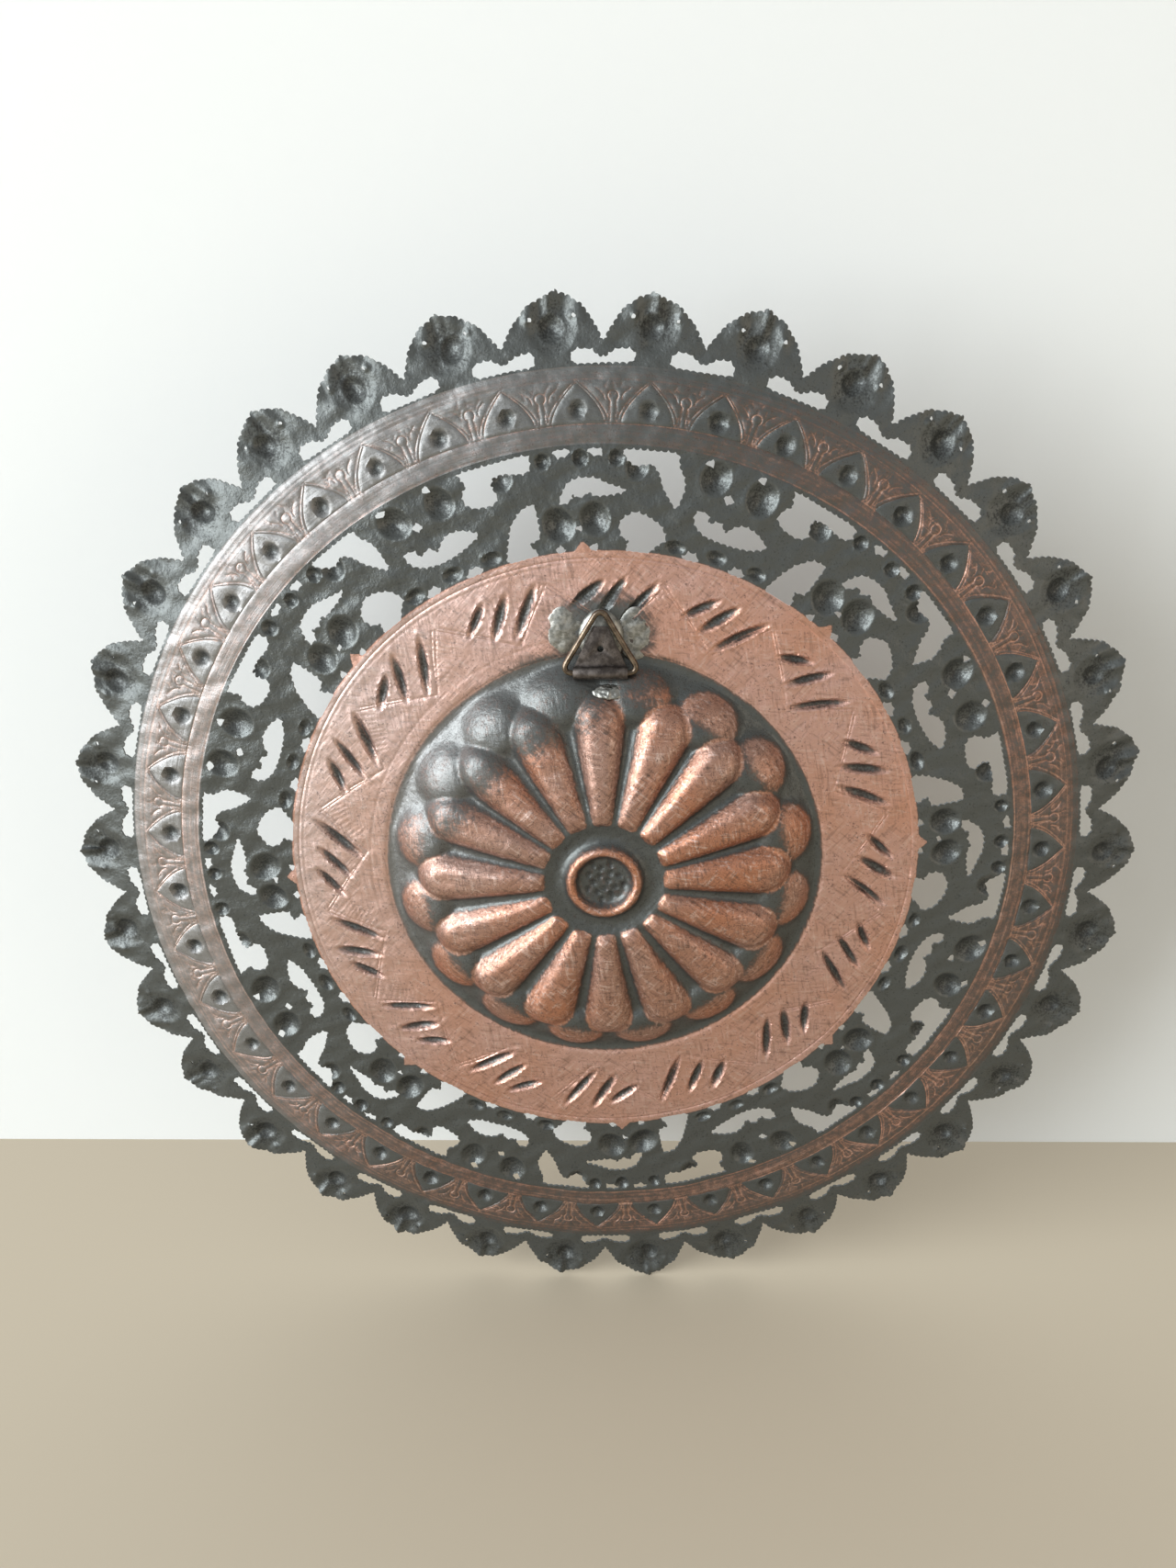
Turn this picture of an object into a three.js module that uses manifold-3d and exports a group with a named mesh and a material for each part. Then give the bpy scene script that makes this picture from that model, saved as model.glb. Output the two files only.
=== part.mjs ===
// A pierced and embossed round copper wall tray, with a small wire hanger soldered to its back.
// Millimetres. The tray stands upright: X to the right and Z up as seen from its back, which faces -Y.
// The pieces are built in sheet axes (x right, y up, z out of the tray's back) and turned upright at the end.
import * as THREE from 'three';
import { mergeVertices } from 'three/addons/utils/BufferGeometryUtils.js';
import Module from 'manifold-3d';

const wasm = await Module();
wasm.setup();

// ---- driving dimensions ----
const SHEET = 0.8; // thickness of the copper
const TURN_STEPS = 64; // facets round the tray
const GAP = 0.3; // between pieces that touch

const RIM_RADIUS = 165; // to the petal tips
const BORDER_PETALS = 34;
const NOTCH_RADIUS = 151.8; // between two border petals

const SLOT_INNER = 145.6;
const SLOT_OUTER = 149.4;
const SLOT_HALF_ANGLE = 3.3; // degrees

const GALLERY_REPEATS = 8;
const GALLERY_AXIS = 93.4; // degrees, the first lower flower
const UPPER_FLOWER_OFFSET = -22.4; // degrees, from a lower flower to the next upper one
const GALLERY_TOP = 123.4;
const GALLERY_BOTTOM = 95.4;

const BASE_RADIUS = 95;
const BASE_RIM_HEIGHT = 10; // back surface where the base meets the gallery
const BASE_CENTRE_HEIGHT = 12.6; // back surface where the base meets the rosette
const ROSETTE_RADIUS = 64;
const ROSETTE_PETALS = 16;
const ROSETTE_AXIS = 91.5; // degrees, one petal's crest
const BOSS_RADIUS = 17.4; // plain groove round the centre ring
const CENTRE_RING_INNER = 8.8;
const CENTRE_RING_OUTER = 10.8;
const CENTRE_RING_TOP = 28;

const HANGER_X = -1;
const BAR_Y = 61.5; // the hanger ring's bar, above the tray's centre
const BAR_Z = 16.6;
const WIRE = 1.7; // hanger ring wire diameter
const WIRE_BEVEL = 0.5;
const RING_WIDTH = 21.6; // over the wire
const RING_HEIGHT = 19;
const RING_CORNER = 2.85; // outer radius at the corners
const BARREL_LENGTH = 15.6;
const BARREL_OUTER = 3.7; // diameter
const BARREL_CLEARANCE = 0.3; // radial, round the bar
const LEAF_THICKNESS = 0.9; // two layers of strip
const LEAF_HEIGHT = 12; // above the bar
const LEAF_BASE_WIDTH = 15;
const LEAF_TOP_WIDTH = 5;
const LEAF_CORNER = 1;
const LEAF_HOLE = 1.8; // diameter
const LEAF_HOLE_RISE = 4.6; // above the bar

// Each solder dab is a dome: place in the hanger's axes, half width, half length and height.
const LEFT_DAB = { x: -10.6, y: 8.2, halfWidth: 3.2, halfLength: 5.6, height: 2 };
const RIGHT_DAB = { x: 10.4, y: 7, halfWidth: 2.9, halfLength: 4.6, height: 1.8 };
const LOWER_DAB = { y: 54.6, height: 1.1, halfWidth: 4.2, halfLength: 1.6 };

const FRONT_TO_MIDDLE = CENTRE_RING_TOP / 2; // the tray's front edge to the middle of its depth

// ---- the sheet: height of its back surface over the radius ----
// The crest line runs along a rosette petal, the valley line between two petals.
const OUTSIDE = RIM_RADIUS + 4; // the blank, before its border is cut
const CREST_LINE = [
  [0, 24.8], [7.6, 25], [CENTRE_RING_INNER, CENTRE_RING_TOP], [CENTRE_RING_OUTER, CENTRE_RING_TOP],
  [12, 25.2], [BOSS_RADIUS, 25], [19.5, 27.2], [30, 27], [42, 25.6], [50, 23.2], [54, 19.8], [58, 15.5],
  [ROSETTE_RADIUS, BASE_CENTRE_HEIGHT], [BASE_RADIUS, BASE_RIM_HEIGHT], [124, 8], [141, 5.8], [150, 3.6],
  [OUTSIDE, 0],
];
const VALLEY_LINE = [
  [BOSS_RADIUS, 25], [19.5, 25.6], [30, 23.4], [42, 20.4], [48, 18.6], [54, 18.4], [58, 17.4],
  [ROSETTE_RADIUS, BASE_CENTRE_HEIGHT],
];
const RING_RADII = CREST_LINE.map(([radius]) => radius).slice(1);

function radians(degrees) {
  return degrees * Math.PI / 180;
}

function lineHeight(line, radius) {
  const within = line.slice(1, -1).filter(([lineRadius]) => lineRadius < radius);
  const next = within.length + 1;
  const [startRadius, startHeight] = line[next - 1];
  const [endRadius, endHeight] = line[next];
  const share = (radius - startRadius) / (endRadius - startRadius);
  return startHeight + share * (endHeight - startHeight);
}

function backHeight(radius, angle) {
  const crest = lineHeight(CREST_LINE, radius);
  if (radius <= BOSS_RADIUS || radius >= ROSETTE_RADIUS) return crest;
  const petalShare = (1 + Math.cos(ROSETTE_PETALS * (angle - radians(ROSETTE_AXIS)))) / 2;
  return petalShare * crest + (1 - petalShare) * lineHeight(VALLEY_LINE, radius);
}

// The front surface lies one sheet thickness behind, measured square to the slope.
function frontHeight(radius, angle) {
  const reach = 0.6;
  const inner = Math.max(radius - reach, 0);
  const outer = Math.min(radius + reach, OUTSIDE);
  const slope = (backHeight(outer, angle) - backHeight(inner, angle)) / (outer - inner);
  return backHeight(radius, angle) - SHEET * Math.hypot(1, slope);
}

// ---- solids ----
function solidFrom(geometry) {
  const bare = geometry.clone();
  bare.deleteAttribute('normal');
  bare.deleteAttribute('uv');
  const merged = mergeVertices(bare, 1e-4);
  return new wasm.Manifold(new wasm.Mesh({
    numProp: 3,
    vertProperties: new Float32Array(merged.attributes.position.array),
    triVerts: new Uint32Array(merged.index.array),
  }));
}

function geometryFrom(solid) {
  const mesh = solid.getMesh();
  const geometry = new THREE.BufferGeometry();
  geometry.setAttribute('position', new THREE.BufferAttribute(new Float32Array(mesh.vertProperties), 3));
  geometry.setIndex(new THREE.BufferAttribute(new Uint32Array(mesh.triVerts), 1));
  geometry.computeVertexNormals();
  return geometry;
}

function extruded(shape, low, high, curveSegments = 8) {
  const options = { depth: high - low, bevelEnabled: false, curveSegments };
  return new THREE.ExtrudeGeometry(shape, options).translate(0, 0, low);
}

// ---- polar outlines: [degrees, radius] pairs, the degrees counted from an axis ----
function polarPoint([degrees, radius], axisDegrees) {
  const angle = radians(axisDegrees + degrees);
  return new THREE.Vector2(radius * Math.cos(angle), radius * Math.sin(angle));
}

function polarShape(outline, axisDegrees) {
  return new THREE.Shape(outline.map((point) => polarPoint(point, axisDegrees)));
}

// One flank of a border petal, from near its notch to near its tip.
const PETAL_FLANK = [[4.4, 154.2], [3.3, 160.2], [1.9, 163.2]];

function borderShape() {
  const pitch = 360 / BORDER_PETALS;
  const mirrored = PETAL_FLANK.map(([degrees, radius]) => [-degrees, radius]);
  const petal = [[-pitch / 2, NOTCH_RADIUS], ...mirrored, [0, RIM_RADIUS], ...PETAL_FLANK.toReversed()];
  const points = [];
  for (let index = 0; index < BORDER_PETALS; index += 1) {
    points.push(...petal.map((point) => polarPoint(point, index * pitch)));
  }
  return new THREE.Shape(points);
}

// The slot under each notch has two lobes, parted by a cusp from its outer edge.
const SLOT_MIDDLE = (SLOT_INNER + SLOT_OUTER) / 2;
const SLOT_OUTLINE = [
  [-SLOT_HALF_ANGLE, SLOT_MIDDLE], [0.5 - SLOT_HALF_ANGLE, SLOT_INNER], [SLOT_HALF_ANGLE - 0.5, SLOT_INNER],
  [SLOT_HALF_ANGLE, SLOT_MIDDLE], [SLOT_HALF_ANGLE - 0.7, SLOT_OUTER], [0, SLOT_MIDDLE],
  [0.7 - SLOT_HALF_ANGLE, SLOT_OUTER],
];

// Gallery openings round a lower flower.
const LOWER_OPENINGS = [
  // L-shaped, upper left
  [[16, GALLERY_TOP], [6.4, GALLERY_TOP], [6.4, 119.4], [11.6, 119], [11.5, 114], [12.6, 112.2],
    [15.4, 112.8], [16.4, 116], [15.3, 119.1]],
  // triangular, upper right
  [[-5.8, GALLERY_TOP], [-7.6, 118.8], [-10, 119.8], [-14, 108.6], [-14.7, 114.4], [-13.3, 120.1],
    [-13.3, GALLERY_TOP]],
  // crescent over the flower
  [[3.1, 110.1], [2.2, 108.7], [1, 111.4], [0, 110.2], [-1.2, 111.6], [-7, 112.2], [-3, 115], [0.4, 115.4],
    [2.2, 113.6]],
  // half leaf, lower left
  [[6.8, 110.1], [8.9, 109.2], [10.8, 105.4], [12.3, 100], [13.2, GALLERY_BOTTOM], [7.5, GALLERY_BOTTOM],
    [8.8, 99.2], [6.8, 100.1]],
  // round, lower right
  [[-5.8, 102.2], [-6.6, 99], [-7, GALLERY_BOTTOM], [-10.9, GALLERY_BOTTOM], [-13.4, 99.8], [-12.3, 103.4],
    [-10.3, 105.4], [-8.2, 106.3]],
  // two small ones between the top bumps
  [[3.2, GALLERY_TOP], [2.6, 121.4], [1.2, 122], [1, GALLERY_TOP]],
  [[-1.2, GALLERY_TOP], [-2.2, 121.5], [-3.2, 121.8], [-3.2, GALLERY_TOP]],
];

// Gallery openings round an upper flower.
const UPPER_OPENINGS = [
  // crescent under the flower
  [[5.3, 108.1], [4.4, 109.5], [3.3, 108.6], [3, 106.6], [1.3, 108], [0.2, 105.5], [-2, 108.8], [-4.6, 108.4],
    [-6.7, 106], [-3.6, 103.2], [0.7, 102.5], [3.6, 103.6]],
  // two small ones between the base bumps
  [[5.4, GALLERY_BOTTOM], [3.2, GALLERY_BOTTOM], [3.6, 97.3], [4.6, 97.5]],
  [[-2.2, GALLERY_BOTTOM], [-5.2, GALLERY_BOTTOM], [-4.2, 97.5], [-3.2, 97.3]],
];

// A flat disc whose rings of vertices are then raised to the two surfaces of the sheet.
function raisedDisc() {
  const front = RING_RADII.map((radius) => new THREE.Vector2(radius, 0));
  const back = RING_RADII.toReversed().map((radius) => new THREE.Vector2(radius, SHEET));
  const profile = [new THREE.Vector2(0, 0), ...front, ...back, new THREE.Vector2(0, SHEET)];
  const disc = new THREE.LatheGeometry(profile, TURN_STEPS, radians(ROSETTE_AXIS + 90));
  disc.rotateX(Math.PI / 2);
  const positions = disc.attributes.position;
  for (let index = 0; index < positions.count; index += 1) {
    const radius = Math.hypot(positions.getX(index), positions.getY(index));
    const angle = Math.atan2(positions.getY(index), positions.getX(index));
    const onBack = positions.getZ(index) > SHEET / 2;
    positions.setZ(index, onBack ? backHeight(radius, angle) : frontHeight(radius, angle));
  }
  return disc;
}

function trayGeometry() {
  const below = -5;
  const galleryTop = 20;
  const aboveAll = CENTRE_RING_TOP + 5;
  const openings = [];
  for (let index = 0; index < BORDER_PETALS; index += 1) {
    openings.push(polarShape(SLOT_OUTLINE, (index + 0.5) * 360 / BORDER_PETALS));
  }
  for (let index = 0; index < GALLERY_REPEATS; index += 1) {
    const axis = GALLERY_AXIS + index * 360 / GALLERY_REPEATS;
    openings.push(...LOWER_OPENINGS.map((outline) => polarShape(outline, axis)));
    openings.push(...UPPER_OPENINGS.map((outline) => polarShape(outline, axis + UPPER_FLOWER_OFFSET)));
  }
  let tray = solidFrom(raisedDisc()).intersect(solidFrom(extruded(borderShape(), below, aboveAll)));
  for (const shape of openings) {
    tray = tray.subtract(solidFrom(extruded(shape, below, galleryTop)));
  }
  return geometryFrom(tray);
}

// ---- hanger: built round its bar's axis, x along the bar, y up the strap, z away from the sheet ----
function barrelGeometry() {
  const shape = new THREE.Shape().absarc(0, 0, BARREL_OUTER / 2, 0, 2 * Math.PI, false);
  shape.holes.push(new THREE.Path().absarc(0, 0, WIRE / 2 + BARREL_CLEARANCE, 0, 2 * Math.PI, true));
  return extruded(shape, -BARREL_LENGTH / 2, BARREL_LENGTH / 2).rotateY(Math.PI / 2);
}

// The strip is folded round the bar, and its two layers leave the barrel's underside as a tapered leaf.
function strapGeometry() {
  const leafLow = -BARREL_OUTER / 2;
  const leafStart = WIRE / 2 + BARREL_CLEARANCE;
  const baseHalf = LEAF_BASE_WIDTH / 2;
  const topHalf = LEAF_TOP_WIDTH / 2;
  const shape = new THREE.Shape([
    new THREE.Vector2(-baseHalf, leafStart),
    new THREE.Vector2(baseHalf, leafStart),
    new THREE.Vector2(topHalf, LEAF_HEIGHT - LEAF_CORNER),
    new THREE.Vector2(topHalf - LEAF_CORNER, LEAF_HEIGHT),
    new THREE.Vector2(LEAF_CORNER - topHalf, LEAF_HEIGHT),
    new THREE.Vector2(-topHalf, LEAF_HEIGHT - LEAF_CORNER),
  ]);
  shape.holes.push(new THREE.Path().absarc(0, LEAF_HOLE_RISE, LEAF_HOLE / 2, 0, 2 * Math.PI, true));
  const leaf = solidFrom(extruded(shape, leafLow, leafLow + LEAF_THICKNESS));
  const heel = solidFrom(new THREE.BoxGeometry(LEAF_BASE_WIDTH, leafStart + 0.2, LEAF_THICKNESS)
    .translate(0, (leafStart + 0.2) / 2, leafLow + LEAF_THICKNESS / 2));
  const bore = solidFrom(new THREE.CylinderGeometry(leafStart, leafStart, BARREL_LENGTH + 2, 24)
    .rotateZ(Math.PI / 2));
  return geometryFrom(leaf.add(heel).subtract(bore).add(solidFrom(barrelGeometry())));
}

// A triangle with rounded corners, offset from the wire's outer edge.
function triangleArcs(path, inset, clockwise) {
  const radius = RING_CORNER - inset;
  const halfWidth = RING_WIDTH / 2 - RING_CORNER;
  const low = RING_CORNER - WIRE / 2;
  const high = RING_HEIGHT - WIRE / 2 - RING_CORNER;
  const lean = Math.atan2(high - low, halfWidth);
  const right = Math.PI / 2 - lean;
  const left = Math.PI / 2 + lean;
  const arcs = [
    [halfWidth, low, -Math.PI / 2, right],
    [0, high, right, left],
    [-halfWidth, low, left, 3 * Math.PI / 2],
  ];
  if (clockwise) arcs.reverse();
  for (const [x, y, start, end] of arcs) {
    path.absarc(x, y, radius, clockwise ? end : start, clockwise ? start : end, clockwise);
  }
  path.closePath();
  return path;
}

// The wire's section is a bevelled square, the bevel growing the outline by its size.
function ringGeometry() {
  const shape = triangleArcs(new THREE.Shape(), WIRE_BEVEL, false);
  shape.holes.push(triangleArcs(new THREE.Path(), WIRE - WIRE_BEVEL, true));
  const geometry = new THREE.ExtrudeGeometry(shape, {
    depth: WIRE - 2 * WIRE_BEVEL,
    bevelThickness: WIRE_BEVEL,
    bevelSize: WIRE_BEVEL,
    bevelSegments: 1,
    curveSegments: 5,
  });
  return geometryFrom(solidFrom(geometry.translate(0, 0, WIRE_BEVEL - WIRE / 2)));
}

// ---- solder ----
const HANGER_TILT = Math.atan2(BASE_CENTRE_HEIGHT - BASE_RIM_HEIGHT, BASE_RADIUS - ROSETTE_RADIUS);
const BASE_BELOW_BAR = (BAR_Z - lineHeight(CREST_LINE, ROSETTE_RADIUS)) * Math.cos(HANGER_TILT)
  + (BAR_Y - ROSETTE_RADIUS) * Math.sin(HANGER_TILT);

function solderBedGeometry() {
  const low = GAP - BASE_BELOW_BAR;
  const high = -BARREL_OUTER / 2 - GAP;
  const outline = [[-6.6, 3.4], [6.8, 3.3], [6.4, 9], [5.6, 14.2], [1.5, 16.4], [-4, 15.6], [-6.2, 11]];
  return extruded(new THREE.Shape(outline.map(([x, y]) => new THREE.Vector2(x, y))), low, high);
}

function domeGeometry({ halfWidth, halfLength, height }) {
  const profile = [new THREE.Vector2(0, 0)];
  const steps = 4;
  for (let index = 0; index < steps; index += 1) {
    const rise = index * Math.PI / 2 / steps;
    profile.push(new THREE.Vector2(Math.cos(rise), Math.sin(rise)));
  }
  profile.push(new THREE.Vector2(0, 1));
  const dome = new THREE.LatheGeometry(profile, 16);
  return dome.rotateX(Math.PI / 2).scale(halfWidth, halfLength, height);
}

// ---- assembly ----
function piece(name, geometry, color, roughness, metalness) {
  const mesh = new THREE.Mesh(geometry, new THREE.MeshStandardMaterial({ color, roughness, metalness }));
  mesh.name = name;
  return mesh;
}

const COPPER = '#8c5f4c';
const BRONZE = '#4a4038';
const SOLDER = '#8f918c';

const hanger = new THREE.Group();
hanger.position.set(HANGER_X, BAR_Y, BAR_Z);
hanger.rotation.x = -HANGER_TILT;
hanger.add(piece('hanger_strap', strapGeometry(), BRONZE, 0.45, 1));
hanger.add(piece('hanger_ring', ringGeometry(), BRONZE, 0.35, 1));
hanger.add(piece('solder_bed', solderBedGeometry(), SOLDER, 0.6, 1));

for (const [name, dab] of [['solder_left_dab', LEFT_DAB], ['solder_right_dab', RIGHT_DAB]]) {
  const mesh = piece(name, domeGeometry(dab), SOLDER, 0.4, 1);
  mesh.position.set(dab.x, dab.y, GAP - BASE_BELOW_BAR);
  hanger.add(mesh);
}

// The lower dab sits on the falling tip of the petal under the barrel.
const dabUpperHeight = lineHeight(CREST_LINE, LOWER_DAB.y - LOWER_DAB.halfLength);
const dabLowerHeight = lineHeight(CREST_LINE, LOWER_DAB.y + LOWER_DAB.halfLength);
const petalFall = Math.atan2(dabUpperHeight - dabLowerHeight, 2 * LOWER_DAB.halfLength);
const lowerDab = piece('solder_lower_dab', domeGeometry(LOWER_DAB), SOLDER, 0.5, 1);
lowerDab.position.set(HANGER_X, LOWER_DAB.y, lineHeight(CREST_LINE, LOWER_DAB.y) + 2 * GAP);
lowerDab.rotation.x = -petalFall;

const tray = new THREE.Group();
tray.add(piece('tray_body', trayGeometry(), COPPER, 0.5, 1));
tray.add(hanger);
tray.add(lowerDab);
tray.rotation.x = Math.PI / 2;
tray.position.y = FRONT_TO_MIDDLE;

const part = new THREE.Group();
part.add(tray);

export default part;
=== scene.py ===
import math
import random
from collections import namedtuple

import bpy
import numpy as np
from mathutils import Euler, Matrix, Vector, geometry, kdtree


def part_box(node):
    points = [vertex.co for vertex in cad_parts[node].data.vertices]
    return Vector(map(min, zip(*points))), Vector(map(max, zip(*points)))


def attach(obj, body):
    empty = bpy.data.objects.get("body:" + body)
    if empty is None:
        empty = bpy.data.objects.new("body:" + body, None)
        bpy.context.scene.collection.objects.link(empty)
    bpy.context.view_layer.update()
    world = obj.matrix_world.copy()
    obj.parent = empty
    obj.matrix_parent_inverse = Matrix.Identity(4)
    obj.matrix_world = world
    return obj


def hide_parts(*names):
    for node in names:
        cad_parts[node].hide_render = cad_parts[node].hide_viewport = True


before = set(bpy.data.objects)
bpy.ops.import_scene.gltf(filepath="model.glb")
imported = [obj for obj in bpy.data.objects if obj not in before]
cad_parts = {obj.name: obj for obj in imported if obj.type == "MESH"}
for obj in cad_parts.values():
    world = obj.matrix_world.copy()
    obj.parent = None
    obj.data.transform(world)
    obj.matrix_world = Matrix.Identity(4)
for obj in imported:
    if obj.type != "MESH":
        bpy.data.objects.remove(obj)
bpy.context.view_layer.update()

# A pierced and chased copper wall tray, seen from its back, with a wire hanger soldered on.
# The sheet is worked out in sheet axes in millimetres: x to the right, y up towards the hanger and
# z out of the tray's back. It is then stood upright in the frame's metres.

MM = 0.001
TRAY_LOW = np.array(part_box("tray_body")[0]) / MM
LUCK = random.Random(34)

# ---- driving dimensions, millimetres and degrees ----
SHEET = 0.8
STEEPEST_SHEET = 1.8
RIM_RADIUS = 165.0
BORDER_RADIUS = 145.0
BAND_RADIUS = 124.5
BASE_RADIUS = 95.0
ROSETTE_RADIUS = 64.0
GROOVE_RADIUS = 17.4
CREST_HEIGHT = 28.0

BORDER_PETALS = 34
NOTCH_RADIUS = 152.0
PINHOLE_RADIUS = 158.0
PINHOLE_REACH = 0.55
PETAL_EYE_ANGLE = 2.15

BAND_ARCHES = 43
ARCH_AXIS = 93.06
ARCH_FOOT = 130.0
ARCH_TOP = 140.8
ARCH_HALF_ANGLE = 3.2

GALLERY_REPEATS = 8
LOWER_FLOWER_AXIS = 93.4
UPPER_FLOWER_AXIS = 71.0

ROSETTE_PETALS = 16
ROSETTE_AXIS = 91.5
CUP_RADIUS = 8.0
CUP_RING_RADIUS = 9.8
PETAL_HALF_PITCH = 9.4
PETAL_TIP_START = 49.0
PETAL_TIP_LENGTH = 9.0
LOBE_MIDDLE = 55.6
LOBE_HALF_WIDTH = 12.4
LOBE_HALF_LENGTH = 10.4
LOBE_HEIGHT = 3.3

BASE_GROUPS = 16
BASE_AXIS = 0.5

NICK_PITCH = 1.9
NICK_DEPTH = 0.6
SEAM_MARGIN = 0.2
SCRIBE_HALF_WIDTH = 0.36
SCRIBE_DEPTH = 0.2
SCRIBE_STEP = 0.48

ROSETTE_STEP = 0.56
BASE_STEP = 0.62
GALLERY_STEP = 0.56
BAND_STEP = 0.95
BORDER_STEP = 0.56
FRONT_COARSENESS = 1.6
CIRCLE_STEP = 0.55
SCRIBE_GAP = 0.2
EDGE_GAP = 0.28

HANGER_X = -1.0
BAR_Y = 61.5
BAR_Z = 16.6
WIRE = 1.7
RING_WIDTH = 21.6
RING_HEIGHT = 19.0
RING_CORNER = 2.85
RING_CORNER_CUT = 3.45
BARREL_LENGTH = 15.6
BARREL_OUTER = 3.7
BARREL_BORE = 2.3
BARREL_EDGE = 0.18
LEAF_THICKNESS = 0.9
LEAF_HEIGHT = 13.2
LEAF_BASE_WIDTH = 15.6
LEAF_TOP_WIDTH = 4.4
LEAF_HOLE = 1.8
LEAF_HOLE_RISE = 6.8
LEAF_EDGE = 0.12
LEAF_GAP = 0.06
LEAF_TUCK = 0.2
PUNCH_LENGTH = 8.0
HANGER_TILT = math.atan2(2.6, 31.0)
BASE_BELOW_BAR = 4.2

# Height of the sheet's back surface over the radius, along the floor between the rosette's petals.
GROUND_LINE = [
    (0, 24.6), (7.4, 24.7), (8.7, 27.2), (9.8, 28), (10.9, 27.2), (12, 24.9), (14.5, 24.3), (17, 24.9),
    (18, 25.2), (22, 24.5), (30, 23.2), (42, 20.8), (50, 18.7), (56, 16.4), (60, 14.3), (63.5, 12.1),
    (65.2, 11.9), (67, 12.4), (95, 10), (124, 8), (141, 5.8), (150, 3.6), (169, 0),
]


# ---- small helpers ----
def polar(radius, degrees):
    angle = np.radians(degrees)
    return np.column_stack([np.atleast_1d(radius * np.cos(angle)), np.atleast_1d(radius * np.sin(angle))])


def radius_of(points):
    return np.hypot(*points.T)


def travelled_along(points):
    """The distance travelled along a line, at each of its points."""
    return np.concatenate([[0], np.cumsum(radius_of(np.diff(points, axis=0)))])


def stationed(points, travelled, stations):
    return np.column_stack([np.interp(stations, travelled, points[:, axis]) for axis in (0, 1)])


def sideways(tangent):
    """Unit steps to the right of a line's tangents."""
    normal = np.column_stack([tangent[:, 1], -tangent[:, 0]])
    return normal / np.maximum(radius_of(normal), 1e-6)[:, None]


def tree_of(points):
    tree = kdtree.KDTree(len(points))
    for number, (x, y) in enumerate(points):
        tree.insert((x, y, 0), number)
    tree.balance()
    return tree


def wrapped(degrees, pitch):
    """Angles brought within half a pitch of nothing, and the number of the pitch each one came from."""
    number = np.round(degrees / pitch)
    return degrees - number * pitch, number.astype(int)


def upright(points):
    """Sheet axes in millimetres to the part's frame in metres."""
    points = np.asarray(points, float)
    depth = TRAY_LOW[1] + CREST_HEIGHT - points[:, 2]
    return np.column_stack([points[:, 0], depth, points[:, 1]]) * MM


def smooth_step(values, low, high):
    share = np.clip((values - low) / (high - low), 0, 1)
    return share * share * (3 - 2 * share)


def jitter(amount):
    return LUCK.uniform(-amount, amount)


def ripple_waves(seed, wavelength, count=14):
    """Waves in all directions whose sum is a smooth, irregular surface of about unit height."""
    luck = random.Random(seed)
    waves = []
    for _ in range(count):
        direction = luck.uniform(0, math.pi)
        pace = 2 * math.pi / (wavelength * luck.uniform(0.7, 1.5))
        waves.append((pace * math.cos(direction), pace * math.sin(direction), luck.uniform(0, 2 * math.pi)))
    return waves


def ripples(waves, x, y):
    total = sum(np.sin(across * x + up * y + start) for across, up, start in waves)
    return total / math.sqrt(len(waves) / 2)


# ---- dents punched into the sheet from its back: centre, half length, half width, turn, depth, lip ----
DENTS = []
DENT_FULLNESS = 1.15
LIP_DISTANCE = 1.1
LIP_SPREAD = 0.14

# A punch's mark: half its length and width, its depth, and the height of the lip it throws up.
Punch = namedtuple("Punch", "half_length half_width depth lip")

PETAL_BOWL = Punch(7.6, 6.6, 1.3, 0)
PETAL_DENT = Punch(3.6, 3.1, 1.25, 0.1)
PETAL_BEAD = Punch(1.3, 1.2, -0.45, 0)
CUP_MARK = Punch(1.5, 1.2, 0.4, 0.08)
ARCH_BOSS = Punch(2.75, 2.6, 1.7, 0.16)
FLOWER_BOSS = Punch(4.9, 4.3, 2.1, 0.08)
LEAF_BOSS = Punch(3.5, 3.1, 1.8, 0.08)
TOP_BOSS = Punch(2.3, 2.1, 1.4, 0.12)
FOOT_BOSS = Punch(2.9, 1.9, 1.2, 0.12)

CUP_MARKS = 16
CUP_MARK_REACH = 6.4
GOLDEN_ANGLE = 137.5

# Places in the gallery, as degrees from a flower's axis and radius.
LOWER_FLOWER = ((3.6, 103.5), (-2.1, 104.5))
UPPER_FLOWER = ((3.8, 118.7), (-3.0, 117.5))
TOP_BOSSES = (4.8, -0.6, -5.2)
LEAF_BOSSES = (10.6, -7.9)
FOOT_BOSSES = (7.3, -0.2, -7.0)


def add_dent(punch, radius, degrees, direction=0.0):
    (x, y), = polar(radius, degrees)
    size = 1 + jitter(0.08)
    turn = math.radians(degrees + direction)
    half_length, half_width = punch.half_length * size, punch.half_width * size
    DENTS.append((x, y, half_length, half_width, turn, punch.depth * size, punch.lip))


def plan_border_dents():
    for petal in range(BORDER_PETALS):
        axis = petal * 360 / BORDER_PETALS
        add_dent(PETAL_BOWL, 155.9, axis + jitter(0.2))
        add_dent(PETAL_DENT, 155.0 + jitter(0.8), axis + jitter(0.5), jitter(40))
        for side in (-1, 1):
            add_dent(PETAL_BEAD, 157.9 + jitter(0.6), axis + side * PETAL_EYE_ANGLE + jitter(0.2))


def plan_cup_dents():
    """The hammered floor of the cup in the middle."""
    for mark in range(CUP_MARKS):
        radius = CUP_MARK_REACH * math.sqrt((mark + 0.5) / CUP_MARKS)
        add_dent(CUP_MARK, radius, mark * GOLDEN_ANGLE, jitter(90))


def plan_band_dents():
    for arch in range(BAND_ARCHES):
        add_dent(ARCH_BOSS, 133.7 + jitter(0.3), arch_axis(arch))


def plan_flower(places, axis):
    for offset, radius in places:
        add_dent(FLOWER_BOSS, radius + jitter(0.4), axis + offset, jitter(50))


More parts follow.
